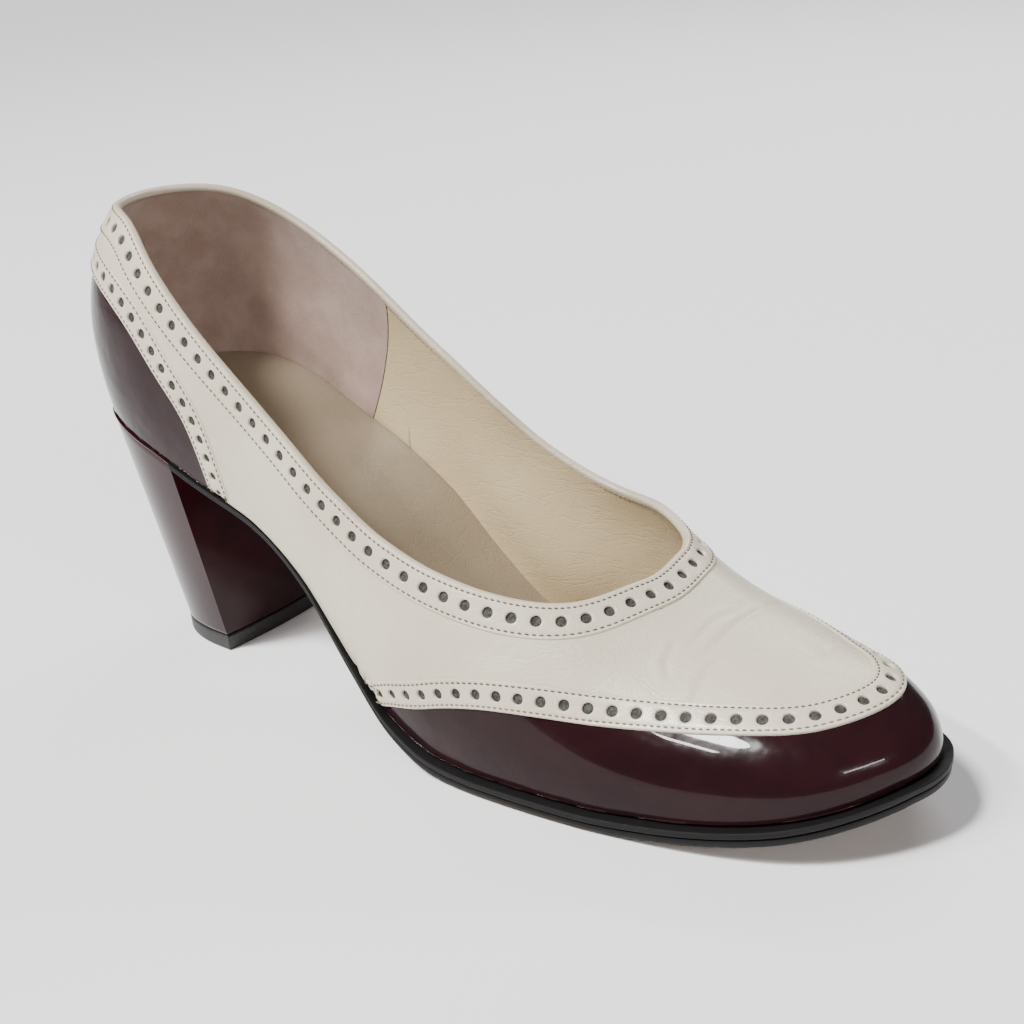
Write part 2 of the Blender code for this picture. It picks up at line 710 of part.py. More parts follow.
def seat_outline(turn):
    """Outline of the heel's top, flush with the upper round the seat."""
    angle, across = turn
    fine = np.linspace(-0.5, 0.5, FINE_SAMPLES)
    plan = feather(np.abs(fine), fine < 0.0)
    kept = plan[plan[:, 0] <= BREAST_TOP][::-1]
    run = np.append(0.0, np.cumsum(np.hypot(*np.diff(kept, axis=0).T)))
    foot = toplift_outline(turn)[: len(angle)]
    share = np.append(0.0, np.cumsum(np.hypot(*np.diff(foot, axis=0).T)))
    at = share / share[-1] * run[-1]
    rounded = np.stack([np.interp(at, run, kept[:, 0]), np.interp(at, run, kept[:, 1])], axis=1)
    first, last = rounded[0], rounded[-1]
    middle = 0.5 * (first[1] + last[1])
    half = 0.5 * (last[1] - first[1])
    breast = np.stack([breast_x(BREAST_TOP, across), middle + across * half], axis=1)
    return np.vstack([rounded, breast])


def block_sheets(low_plan, high_plan, low_z, high_z, levels):
    """Sheets of a block lofted between two outlines and closed by fans of strips."""
    share = np.linspace(0.0, 1.0, levels)[:, None, None]
    plan = low_plan[None] + (high_plan - low_plan)[None] * share
    height = low_z[None, :] + (high_z - low_z)[None, :] * share[..., 0]
    wall = np.concatenate([plan, height[..., None]], axis=2)
    return np.concatenate([wall, wall[:, :1]], axis=1)


def capped(wall, top_height, bottom_height):
    """Wall of a block with its two caps, each a fan of rings towards the middle."""
    sheets = [wall]
    for ring, height in ((wall[0], bottom_height), (wall[-1], top_height)):
        middle = ring[:-1].mean(axis=0)
        share = np.array(CAP_RINGS)[:, None, None]
        cap = middle[None, None] + (ring - middle)[None] * share
        cap[..., 2] = np.where(share[..., 0] < 1.0, height(cap[..., 0]), cap[..., 2])
        sheets.append(cap)
    return sheets


def build_heel():
    """Covered block heel, from the toplift up to the seat."""
    turn = heel_turn()
    low_plan = toplift_outline(turn)
    high_plan = seat_outline(turn)
    floor = TOPLIFT_HEIGHT + GAP
    seat = lambda x: feather_height(x) - CHORD_ALLOWANCE * foot_gap(x)
    low_z = np.full(len(low_plan), floor)
    wall = block_sheets(low_plan, high_plan, low_z, seat(high_plan[:, 0]), HEEL_LEVELS)
    sheets = capped(wall, seat, lambda x: np.full(np.shape(x), floor))
    return add_object("heel", "burgundy_patent", sheets)


def build_toplift():
    """Heel tip piece that stands on the floor."""
    plan = toplift_outline(heel_turn())
    low_z, high_z = np.zeros(len(plan)), np.full(len(plan), TOPLIFT_HEIGHT)
    wall = block_sheets(plan, plan, low_z, high_z, 2)
    level = lambda value: lambda x: np.full(np.shape(x), value)
    return add_object("toplift", "heel_rubber", capped(wall, level(TOPLIFT_HEIGHT), level(0.0)))


def centre_on_floor(things):
    """Move every mesh so that the shoe's box is centred over the origin."""
    corners = np.array([vertex.co for thing in things for vertex in thing.data.vertices])
    low, high = corners.min(axis=0), corners.max(axis=0)
    move = np.array([-(low[0] + high[0]) / 2.0, -(low[1] + high[1]) / 2.0, -low[2]])
    for thing in things:
        for vertex in thing.data.vertices:
            vertex.co = np.array(vertex.co) + move


def main():
    """Clear the scene and build every sub-part."""
    for thing in list(bpy.data.objects):
        bpy.data.objects.remove(thing)
    collar = collar_curve(COLLAR_SAMPLES)
    band = shifted(collar, TOPLINE_BAND, True)
    columns = upper_columns(over_ridge(band))
    things = [
        build_upper(columns, collar, band),
        build_panel("wing_toe", WING_LINE, columns),
        build_panel("counter", COUNTER_LINE, columns),
        build_outsole(columns),
        build_insole(columns),
        build_heel(),
        build_toplift(),
    ]
    centre_on_floor(things)


main()
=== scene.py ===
"""Looks of the spectator court shoe: leather, patent, linings, punched bands, stitches, sole and heel.

Everything lies on one form, the last. A point of the last is given by s and h:
s is the share of the way from heel to toe along the feather line, where the upper meets the sole,
and h runs from 0 at the outer feather over the ridge at 1 to 2 at the inner feather.
All lengths are in metres.
"""

import logging
import math
from dataclasses import dataclass
from enum import Enum
from typing import Callable, Optional, Sequence, Union

import bmesh
import bpy
import numpy as np
from mathutils import Matrix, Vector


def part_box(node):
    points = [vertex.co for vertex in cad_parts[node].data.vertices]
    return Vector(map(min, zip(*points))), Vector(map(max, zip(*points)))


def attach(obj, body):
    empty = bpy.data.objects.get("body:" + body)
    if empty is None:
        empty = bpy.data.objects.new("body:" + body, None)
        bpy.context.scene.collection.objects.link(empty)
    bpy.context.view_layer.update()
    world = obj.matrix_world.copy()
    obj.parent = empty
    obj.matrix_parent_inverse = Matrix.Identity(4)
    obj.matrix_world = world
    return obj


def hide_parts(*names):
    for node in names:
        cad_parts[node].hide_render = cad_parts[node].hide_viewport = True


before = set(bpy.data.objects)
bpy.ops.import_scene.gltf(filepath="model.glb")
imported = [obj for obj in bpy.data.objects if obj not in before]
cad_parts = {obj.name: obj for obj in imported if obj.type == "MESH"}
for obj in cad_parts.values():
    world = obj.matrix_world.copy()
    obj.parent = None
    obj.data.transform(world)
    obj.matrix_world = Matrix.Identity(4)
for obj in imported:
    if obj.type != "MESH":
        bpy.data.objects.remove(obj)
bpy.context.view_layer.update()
LOG = logging.getLogger("court_shoe")
Array = np.ndarray
Number = Union[float, "Value"]


# Shader maths

def feed(tree: bpy.types.NodeTree, slot: bpy.types.NodeSocket, item: object) -> None:
    """Link a value or a socket to an input, or set the input to a number, a colour or a vector.

    Args:
        tree: Node tree that holds the input.
        slot: The input.
        item: Value, socket, number, colour of three shares or vector.
    """
    if isinstance(item, Value):
        tree.links.new(item.socket, slot)
    elif isinstance(item, bpy.types.NodeSocket):
        tree.links.new(item, slot)
    else:
        slot.default_value = tuple(item) + (1.0,) if slot.type == "RGBA" else item


def calculate(tree: bpy.types.NodeTree, operation: str, *items: Number) -> "Value":
    """Add one Math node on numbers and values, and give its result.

    Args:
        tree: Node tree to add it to.
        operation: The Math node's operation.
        items: Its inputs in order.

    Returns:
        The node's result.
    """
    node = tree.nodes.new("ShaderNodeMath")
    node.operation = operation
    for slot, item in zip(node.inputs, items):
        feed(tree, slot, item)
    return Value(tree, node.outputs[0])


class Value:
    """Number made by a node. Arithmetic on it adds Math nodes to the same tree."""

    def __init__(self, tree: bpy.types.NodeTree, socket: bpy.types.NodeSocket) -> None:
        """Keep the tree and the socket that gives the number."""
        self.tree = tree
        self.socket = socket

    def maths(self, operation: str, *others: Number) -> "Value":
        """Add one Math node on this value and others."""
        return calculate(self.tree, operation, self, *others)

    def __add__(self, other: Number) -> "Value":
        """Sum."""
        return self.maths("ADD", other)

    def __radd__(self, other: float) -> "Value":
        """Sum with a plain number first."""
        return self.maths("ADD", other)

    def __sub__(self, other: Number) -> "Value":
        """Difference."""
        return self.maths("SUBTRACT", other)

    def __rsub__(self, other: float) -> "Value":
        """Difference from a plain number."""
        return calculate(self.tree, "SUBTRACT", other, self)

    def __mul__(self, other: Number) -> "Value":
        """Product."""
        return self.maths("MULTIPLY", other)

    def __rmul__(self, other: float) -> "Value":
        """Product with a plain number first."""
        return self.maths("MULTIPLY", other)

    def __truediv__(self, other: Number) -> "Value":
        """Quotient."""
        return self.maths("DIVIDE", other)

    def ramp(self, low: float, high: float) -> "Value":
        """Smooth step from 0 at low to 1 at high."""
        share = ((self - low) / (high - low)).maths("MINIMUM", 1.0).maths("MAXIMUM", 0.0)
        return share * share * (3.0 - 2.0 * share)


class Shade:
    """Node tree of one material, with short ways to add what finishes need."""

    def __init__(self, name: str) -> None:
        """Make the material with its Principled shader and Object coordinates."""
        self.material = bpy.data.materials.new(name)
        self.material.use_nodes = True
        self.tree = self.material.node_tree
        self.shader = self.tree.nodes["Principled BSDF"]
        self.place = self.tree.nodes.new("ShaderNodeTexCoord").outputs["Object"]

    def node(self, kind: str, settings: dict, sockets: dict) -> bpy.types.Node:
        """Add any node.

        Args:
            kind: Node type.
            settings: The node's own properties, set first.
            sockets: Values or links of its inputs, by name or number.

        Returns:
            The node.
        """
        node = self.tree.nodes.new(kind)
        for key, item in settings.items():
            setattr(node, key, item)
        for key, item in sockets.items():
            feed(self.tree, node.inputs[key], item)
        return node

    def stretched(self, scale: Sequence[float]) -> bpy.types.NodeSocket:
        """Object coordinates times a scale along each axis."""
        return self.node("ShaderNodeMapping", {}, {"Vector": self.place, "Scale": scale}).outputs[0]

    def noise(self, size: float, detail: float = 4.0, rough: float = 0.55,
              place: Optional[bpy.types.NodeSocket] = None) -> Value:
        """Cloudy noise with blotches of a size in metres, about 0.5 on average.

        Args:
            size: Size of its largest blotches in metres.
            detail: Number of finer layers.
            rough: Share that each finer layer keeps.
            place: Coordinates, the object's own if none are given.

        Returns:
            The noise.
        """
        node = self.node("ShaderNodeTexNoise", {"noise_dimensions": "3D"},
                         {"Vector": place or self.place, "Scale": 1.0 / size, "Detail": detail,
                          "Roughness": rough})
        return Value(self.tree, node.outputs["Fac"])

    def cells(self, size: float) -> Value:
        """Distance in a pattern of irregular cells of a size in metres."""
        sockets = {"Vector": self.place, "Scale": 1.0 / size}
        node = self.node("ShaderNodeTexVoronoi", {"feature": "F1"}, sockets)
        return Value(self.tree, node.outputs["Distance"])

    def height(self) -> Value:
        """Height over the floor."""
        split = self.node("ShaderNodeSeparateXYZ", {}, {"Vector": self.place})
        return Value(self.tree, split.outputs["Z"])

    def blend(self, factor: Number, first: Union[tuple, bpy.types.NodeSocket],
              second: Union[tuple, bpy.types.NodeSocket]) -> bpy.types.NodeSocket:
        """Mix two colours. A Mix node has its colour inputs at 6 and 7 and its colour result at 2.

        Args:
            factor: Share of the second colour.
            first: Colour at 0.
            second: Colour at 1.

        Returns:
            The mixed colour.
        """
        node = self.node("ShaderNodeMix", {"data_type": "RGBA"}, {0: factor, 6: first, 7: second})
        return node.outputs[2]

    def bump(self, height: Value, depth: float) -> None:
        """Feed a height pattern, in shares of a depth in metres, to the shader's Normal."""
        node = self.node("ShaderNodeBump", {}, {"Height": height, "Distance": depth, "Strength": 1.0})
        self.tree.links.new(node.outputs[0], self.shader.inputs["Normal"])

    def wire(self, socket: str, item: Union[Value, bpy.types.NodeSocket, float, tuple]) -> None:
        """Set or link one input of the Principled shader."""
        feed(self.tree, self.shader.inputs[socket], item)


# Finishes

@dataclass(frozen=True)
class SmoothLeather:
    """Coated leather with fine pores, faint wrinkles and slight soiling."""

    name: str
    colour: tuple
    soiled: tuple
    gloss: float = 0.36
    pore: float = 0.00045
    depth: float = 0.00004
    wrinkle_depth: float = 0.00010
    wrinkle_size: float = 0.0060
    wrinkle_share: float = 0.35
    cloud_size: float = 0.030
    soil_size: float = 0.0035
    coat: float = 0.12
    coat_roughness: float = 0.22

    def material(self) -> bpy.types.Material:
        """Build the node material."""
        shade = Shade(self.name)
        cloud = shade.noise(self.cloud_size, 3.0)
        fine = shade.noise(self.soil_size, 5.0)
        dirt = cloud.ramp(0.42, 0.72) * 0.55 + fine.ramp(0.5, 0.8) * 0.25
        shade.wire("Base Color", shade.blend(dirt, self.colour, self.soiled))
        shade.wire("Roughness", self.gloss + (fine - 0.5) * 0.16 + (cloud - 0.5) * 0.10)
        pores = shade.cells(self.pore).ramp(0.10, 0.55)
        folds = shade.noise(self.wrinkle_size, 2.0, 0.5, shade.stretched((0.35, 1.0, 1.6)))
        creased = (folds - 0.5).maths("ABSOLUTE").ramp(0.0, 0.035)
        shade.bump(pores * self.depth / self.wrinkle_depth + creased * self.wrinkle_share, self.wrinkle_depth)
        shade.wire("Specular IOR Level", 0.5)
        shade.wire("Coat Weight", self.coat)
        shade.wire("Coat Roughness", self.coat_roughness)
        return shade.material


@dataclass(frozen=True)
class PatentLeather:
    """Dark leather under a clear, slightly wavy lacquer."""

    name: str
    colour: tuple
    deep: tuple
    wave: float = 0.0075
    wave_depth: float = 0.00034
    dust: float = 0.02
    cloud_size: float = 0.022
    grain_size: float = 0.0006
    ripple_size: float = 0.0016
    under_roughness: float = 0.16
    specular: float = 0.08
    coat: float = 0.26
    coat_ior: float = 1.45

    def material(self) -> bpy.types.Material:
        """Build the node material."""
        shade = Shade(self.name)
        cloud = shade.noise(self.cloud_size, 3.0)
        fine = shade.noise(self.grain_size, 2.0)
        shade.wire("Base Color", shade.blend(cloud.ramp(0.35, 0.7), self.colour, self.deep))
        shade.wire("Roughness", self.under_roughness + fine * 0.05)
        waves = shade.noise(self.wave, 2.0, 0.4) + shade.noise(self.ripple_size, 2.0) * 0.04
        shade.bump(waves, self.wave_depth)
        shade.wire("Specular IOR Level", self.specular)
        shade.wire("Coat Weight", self.coat)
        shade.wire("Coat Roughness", self.dust)
        shade.wire("Coat IOR", self.coat_ior)
        return shade.material


@dataclass(frozen=True)
class Suede:
    """Napped leather: soft speckle, brushed patches and a sheen."""

    name: str
    colour: tuple
    rubbed: tuple
    patch_size: float = 0.012
    nap_size: float = 0.0005
    nap_depth: float = 0.00012
    sheen: float = 0.35
    sheen_roughness: float = 0.45

    def material(self) -> bpy.types.Material:
        """Build the node material."""
        shade = Shade(self.name)
        patch = shade.noise(self.patch_size, 4.0, 0.6)
        nap = shade.noise(self.nap_size, 3.0, 0.7)
        rubbed = patch.ramp(0.35, 0.7) * 0.7 + nap * 0.3
        shade.wire("Base Color", shade.blend(rubbed, self.colour, self.rubbed))
        shade.wire("Roughness", 0.86 + (patch - 0.5) * 0.12)
        shade.wire("Sheen Weight", self.sheen)
        shade.wire("Sheen Roughness", self.sheen_roughness)
        shade.bump(nap, self.nap_depth)
        return shade.material


@dataclass(frozen=True)
class SoleEdge:
    """Inked edge of a leather sole: layers along its length, rougher in streaks and scuffed low down."""

    name: str
    colour: tuple
    scuffed: tuple
    scuff_height: float = 0.0016
    grain_size: float = 0.0016
    grain_depth: float = 0.00010
    specular: float = 0.18

    def material(self) -> bpy.types.Material:
        """Build the node material."""
        shade = Shade(self.name)
        height = shade.height()
        grain = shade.noise(self.grain_size, 5.0, 0.65, shade.stretched((0.35, 0.35, 3.0)))
        low = 1.0 - height.ramp(0.0, self.scuff_height)
        scuff = low * grain.ramp(0.35, 0.6) * 0.8
        shade.wire("Base Color", shade.blend(scuff, self.colour, self.scuffed))
        shade.wire("Roughness", 0.42 + grain * 0.22)
        shade.wire("Specular IOR Level", self.specular)
        shade.bump(grain, self.grain_depth)
        return shade.material


@dataclass(frozen=True)
class SoleLeather:
    """Plain vegetable-tanned leather under the sole, worn paler at the tread."""

    name: str
    colour: tuple
    worn: tuple
    worn_height: float = 0.004
    cloud_size: float = 0.018
    scratch_size: float = 0.0022
    pore_size: float = 0.0005
    depth: float = 0.00010

    def material(self) -> bpy.types.Material:
        """Build the node material."""
        shade = Shade(self.name)
        height = shade.height()
        cloud = shade.noise(self.cloud_size, 5.0, 0.6)
        scratch = shade.noise(self.scratch_size, 4.0, 0.6, shade.stretched((0.25, 1.4, 1.0)))
        wear = (1.0 - height.ramp(0.0, self.worn_height)) * cloud.ramp(0.3, 0.65)
        shade.wire("Base Color", shade.blend(wear, self.colour, self.worn))
        shade.wire("Roughness", 0.38 + scratch * 0.3)
        shade.bump(scratch * 0.6 + shade.noise(self.pore_size) * 0.4, self.depth)
        return shade.material


@dataclass(frozen=True)
class Plain:
    """Small plain finish for thread, rubber and the cloth seen through the punched holes."""

    name: str
    colour: tuple
    other: tuple
    size: float
    rough: float
    depth: float

    def material(self) -> bpy.types.Material:
        """Build the node material."""
        shade = Shade(self.name)
        mottle = shade.noise(self.size, 4.0, 0.65)
        shade.wire("Base Color", shade.blend(mottle.ramp(0.38, 0.66), self.colour, self.other))
        shade.wire("Roughness", self.rough + (mottle - 0.5) * 0.1)
        shade.bump(mottle, self.depth)
        return shade.material


class Finish(Enum):
    """Finishes of the shoe, each made once."""

    BODY = SmoothLeather("white_body_leather", (0.630, 0.568, 0.438), (0.530, 0.462, 0.340))
    BAND = SmoothLeather("white_band_leather", (0.640, 0.565, 0.445), (0.530, 0.450, 0.335), 0.34)
    BINDING = SmoothLeather("collar_edge_leather", (0.540, 0.460, 0.350), (0.380, 0.305, 0.210), 0.42)
    PATENT = PatentLeather("burgundy_patent", (0.0185, 0.0054, 0.0070), (0.0120, 0.0038, 0.0050))
    HEEL_PATENT = PatentLeather("heel_patent", (0.0240, 0.0042, 0.0062), (0.0150, 0.0030, 0.0044),
                                0.012, 0.00010)
    SUEDE = Suede("heel_lining_suede", (0.290, 0.190, 0.150), (0.400, 0.285, 0.232))
    LINING = SmoothLeather("forepart_lining_leather", (0.560, 0.445, 0.265), (0.460, 0.350, 0.200), 0.24)
    SOCK = SmoothLeather("sock_leather", (0.270, 0.214, 0.146), (0.212, 0.165, 0.108), 0.40)
    EDGE = SoleEdge("sole_edge_ink", (0.0060, 0.0055, 0.0055), (0.090, 0.060, 0.040))
    TREAD = SoleLeather("sole_leather", (0.150, 0.070, 0.032), (0.300, 0.190, 0.110))
    THREAD = Plain("olive_thread", (0.075, 0.055, 0.032), (0.140, 0.110, 0.070), 0.0006, 0.7, 0.00004)
    PALE_THREAD = Plain("beige_thread", (0.190, 0.150, 0.095), (0.120, 0.092, 0.056), 0.0006, 0.7, 0.00004)
    HOLE_FLOOR = Plain("punch_backing", (0.014, 0.014, 0.012), (0.070, 0.069, 0.057), 0.0007, 0.75, 0.00020)
    RUBBER = Plain("heel_tip_rubber", (0.010, 0.010, 0.010), (0.022, 0.021, 0.020), 0.0012, 0.55, 0.00006)

    @property
    def material(self) -> bpy.types.Material:
        """The finish's material, made the first time it is asked for."""
        return bpy.data.materials.get(self.value.name) or self.value.material()


# Curves

def spline_bends(x: Array, y: Array, period: Optional[float] = None) -> Array:
    """Second derivatives of the cubic spline through (x, y), natural or periodic.

    Args:
        x: Rising places of the knots.
        y: Values there, one row each if there are several.
        period: Length of one turn of a closed curve.

    Returns:
        Second derivative at each knot.
    """
    count = len(x)
    matrix = np.zeros((count, count))
    right = np.zeros(y.shape)
    step = np.diff(x if period is None else np.append(x, x[0] + period))
    for i in range(count):
        after = (i + 1) % count
        if period is None and i in (0, count - 1):
            matrix[i, i] = 1.0
            continue
        matrix[i, i - 1] += step[i - 1]
        matrix[i, i] += 2.0 * (step[i - 1] + step[i])
        matrix[i, after] += step[i]
        right[i] = 6.0 * ((y[after] - y[i]) / step[i] - (y[i] - y[i - 1]) / step[i - 1])
    return np.linalg.solve(matrix, right)


def spline(x: Array, y: Array, at: Array, period: Optional[float] = None) -> Array:
    """Cubic spline through (x, y), read at any values.

    Args:
        x: Rising places of the knots.
        y: Values there, one row each if there are several.
        at: Places to read.
        period: Length of one turn of a closed curve.

    Returns:
        Values at those places.
    """
    bends = spline_bends(x, y, period)
    at = np.asarray(at, float)
    ends = x if period is None else np.append(x, x[0] + period)
    at = np.clip(at, x[0], x[-1]) if period is None else (at - x[0]) % period + x[0]
    k = np.clip(np.searchsorted(ends, at, side="right") - 1, 0, len(ends) - 2)
    after = (k + 1) % len(x)
    spread = (Ellipsis,) + (None,) * (y.ndim - 1)
    width = (ends[k + 1] - ends[k])[spread]
    left = (at - ends[k])[spread]
    rest = (ends[k + 1] - at)[spread]
    curve = (bends[k] * rest**3 + bends[after] * left**3) / (6.0 * width)
    start = (y[k] / width - bends[k] * width / 6.0) * rest
    return curve + start + (y[after] / width - bends[after] * width / 6.0) * left


def steady(x: Array, y: Array, at: Array) -> Array:
    """Cubic through (x, y) that never overshoots, so level stretches stay level.

    Args:
        x: Rising places of the knots.
        y: Values there.
        at: Places to read.

    Returns:
        Values at those places. The slope at a knot is the harmonic mean of those beside it.
    """
    step = np.diff(x)
    slope = np.diff(y) / step
    near = 2.0 * step[1:] + step[:-1]
    far = step[1:] + 2.0 * step[:-1]
    same = slope[:-1] * slope[1:] > 0.0
    before = np.where(same, slope[:-1], 1.0)
    after = np.where(same, slope[1:], 1.0)
    middle = np.where(same, (near + far) / (near / before + far / after), 0.0)
    tangent = np.concatenate([slope[:1], middle, slope[-1:]])
    k = np.clip(np.searchsorted(x, at) - 1, 0, len(x) - 2)
    t = np.clip((at - x[k]) / step[k], 0.0, 1.0)
    start = y[k] * (1 + 2 * t) * (1 - t) ** 2 + tangent[k] * step[k] * t * (1 - t) ** 2
    return start + y[k + 1] * t * t * (3 - 2 * t) + tangent[k + 1] * step[k] * t * t * (t - 1)


def smooth_step(x: Array, low: float, high: float) -> Array:
    """0 below low, 1 above high and a smooth rise between."""
    t = np.clip((x - low) / (high - low), 0.0, 1.0)
    return t * t * (3.0 - 2.0 * t)


# The last

@dataclass
class Last:
    """Foot form that every piece lies on, the same one as in the solids.

    Each section is a squared quarter ellipse from the feather line up to the ridge, with a bulge low down.
    """

    length: float = 0.235
    ball_width: float = 0.073
    seat_height: float = 0.0698
    cone_height: float = 0.129
    toe_spring: float = 0.0112
    sole_thickness: float = 0.0042
    heel_point: float = -0.014
    toe_point: float = 0.089
    heel_centre: float = 0.125
    toe_centre: float = 0.885
    fan_softness: float = 0.025
    bulge_scale: float = 1.3
    toplift_back: float = 0.0103
    tuck_reach: float = 0.11

    # along, outer, inner
    PLAN = (
        (0.030, -0.242, 0.193), (0.102, -0.391, 0.373), (0.204, -0.397, 0.411), (0.315, -0.388, 0.380),
        (0.417, -0.434, 0.390), (0.532, -0.489, 0.454), (0.647, -0.492, 0.508), (0.757, -0.456, 0.499),
        (0.851, -0.400, 0.445), (0.923, -0.315, 0.343), (0.977, -0.160, 0.225),
    )
    # along, rise, spring
    PROFILE = (
        (0.00, 1.000, 0.00), (0.07, 0.985, 0.00), (0.14, 0.915, 0.00), (0.22, 0.785, 0.00),
        (0.30, 0.672, 0.00), (0.37, 0.516, 0.00), (0.44, 0.272, 0.00), (0.50, 0.088, 0.00),
        (0.56, 0.012, 0.00), (0.61, 0.000, 0.00), (0.72, 0.000, 0.00), (0.80, 0.000, 0.12),
        (0.90, 0.000, 0.44), (1.00, 0.000, 1.00),
    )
    # along, height, side
    RIDGE = (
        (0.060, 0.999, -0.004), (0.160, 1.001, 0.012), (0.250, 0.968, 0.049), (0.340, 0.873, 0.086),
        (0.420, 0.757, 0.123), (0.500, 0.652, 0.158), (0.580, 0.550, 0.193), (0.650, 0.440, 0.216),
        (0.715, 0.340, 0.223), (0.760, 0.297, 0.208), (0.800, 0.276, 0.188), (0.840, 0.262, 0.161),
        (0.880, 0.246, 0.136),
    )
    # along, squareness, bulge
    FULLNESS = (
        (0.00, 2.00, 0.052), (0.10, 2.60, 0.058), (0.30, 2.60, 0.062), (0.45, 2.50, 0.052),
        (0.60, 2.35, 0.032), (0.75, 2.25, 0.018), (1.00, 2.30, 0.016),
    )

    def __post_init__(self) -> None:
        """Work out the feather outline and where the solids put the last."""
        outer = [(row[0], row[1]) for row in self.PLAN]
        inner = [(row[0], row[2]) for row in reversed(self.PLAN)]
        points = [(0.0, self.heel_point)] + outer + [(1.0, self.toe_point)] + inner
        self.plan = np.array(points) * (self.length, self.ball_width)
        closed = np.vstack([self.plan, self.plan[:1]])
        along = np.append(0.0, np.cumsum(np.hypot(*np.diff(closed, axis=0).T)))
        self.plan_along, self.around = along[:-1], along[-1]
        self.toe_along = self.plan_along[len(self.PLAN) + 1]
        self.profile, self.top, self.full = (np.array(t).T for t in (self.PROFILE, self.RIDGE, self.FULLNESS))
        low, high = (np.array(corner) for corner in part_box("toplift"))
        self.origin = np.array([low[0] - self.toplift_back, 0.5 * (low[1] + high[1]), 0.0])

    def feather(self, s: Array, inner: Array) -> Array:
        """Plan of the feather line at s, on the inner or outer side."""
        back_way = self.around - s * (self.around - self.toe_along)
        return spline(self.plan_along, self.plan, np.where(inner, back_way, s * self.toe_along), self.around)

    def feather_height(self, x: Array) -> Array:
        """Height of the feather line: heel seat, shank, flat tread and toe spring."""
        along = np.asarray(x) / self.length
        knots, rise, spring = self.profile
        lift = steady(knots, rise, along) * (self.seat_height - self.sole_thickness)
        return self.sole_thickness + lift + steady(knots, spring, along) * self.toe_spring

    def ridge(self, s: Array) -> Array:
        """Top line, which stops short of heel and toe so that the sections fan out there."""
        outer = self.feather(s, np.zeros(s.shape, bool))[..., 0]
        inner = self.feather(s, np.ones(s.shape, bool))[..., 0]
        soft = self.fan_softness
        mean = 0.5 * (outer + inner) / self.length
        x = self.heel_centre + soft * np.logaddexp(0.0, (mean - self.heel_centre) / soft)
        x = self.toe_centre - soft * np.logaddexp(0.0, (self.toe_centre - x) / soft)
        knots, height, side = self.top
        return np.stack([x * self.length, spline(knots, side, x) * self.ball_width,
                         spline(knots, height, x) * self.cone_height], axis=-1)

    def surface(self, s: Array, h: Array) -> Array:
        """Point of the last in its own frame. Below the feather it turns in under the foot.

        Args:
            s: Share of the way from heel to toe. Beyond 0 and 1 it runs on round the heel and the toe.
            h: 0 at the outer feather, 1 at the ridge, 2 at the inner feather.

        Returns:
            Points: the feather moved towards the ridge by 1 - cos^p of the quarter turn h, and lifted
            by its sine.
        """
        s, h = np.broadcast_arrays(np.asarray(s, float), np.asarray(h, float))
        h = np.where(s < 0.0, 2.0 - h, h)
        s = np.abs(s)
        h = np.where(s > 1.0, 2.0 - h, h)
        s = np.where(s > 1.0, 2.0 - s, s)
        inner = h > 1.0
        up = np.where(inner, 2.0 - h, h)
        tuck = np.clip(-up, 0.0, None) * self.tuck_reach
        up = np.clip(up, 0.0, None)
        foot = self.feather(s, inner)
        top = self.ridge(s)
        along = foot[..., 0] / self.length
        knots, square, swell = self.full
        across = top[..., :2] - foot
        reach = np.hypot(across[..., 0], across[..., 1])
        angle = up * np.pi / 2.0
        share = 1.0 - np.abs(np.cos(angle)) ** (2.0 / spline(knots, square, along))
        bulge = spline(knots, swell, along) * self.ball_width * self.bulge_scale
        share = share - bulge / reach * np.sin(np.pi * up) * np.sqrt(np.clip(1.0 - up, 0.0, 1.0))
        plan = foot + (share + tuck / reach)[..., None] * across
        low = self.feather_height(np.where(tuck > 0.0, plan[..., 0], foot[..., 0]))
        height = low + (top[..., 2] - low) * np.sin(angle)
        return np.concatenate([plan, height[..., None]], axis=-1)

    def slopes(self, s: Array, h: Array, step: float = 1e-3) -> tuple[Array, Array]:
        """Change of the surface with s and with h, by central differences."""
        by_h = (self.surface(s, h + step) - self.surface(s, h - step)) / (2.0 * step)
        by_s = (self.surface(s + step, h) - self.surface(s - step, h)) / (2.0 * step)
        return by_s, by_h

    def outward(self, s: Array, h: Array) -> Array:
        """Unit normal that points out of the last."""
        by_s, by_h = self.slopes(s, h)
        normal = np.cross(by_s, by_h)
        return normal / np.linalg.norm(normal, axis=-1, keepdims=True)

    def raised(self, s: Array, h: Array, level: Union[float, Array]) -> Array:
        """Point at a level over the last, in the frame of the solids.

        Args:
            s: Share of the way from heel to toe.
            h: Share of the way up and over.
            level: Distance out from the last.

        Returns:
            Points.
        """
        s, h, level = np.broadcast_arrays(*(np.asarray(item, float) for item in (s, h, level)))
        return self.surface(s, h) + self.outward(s, h) * level[..., None] + self.origin


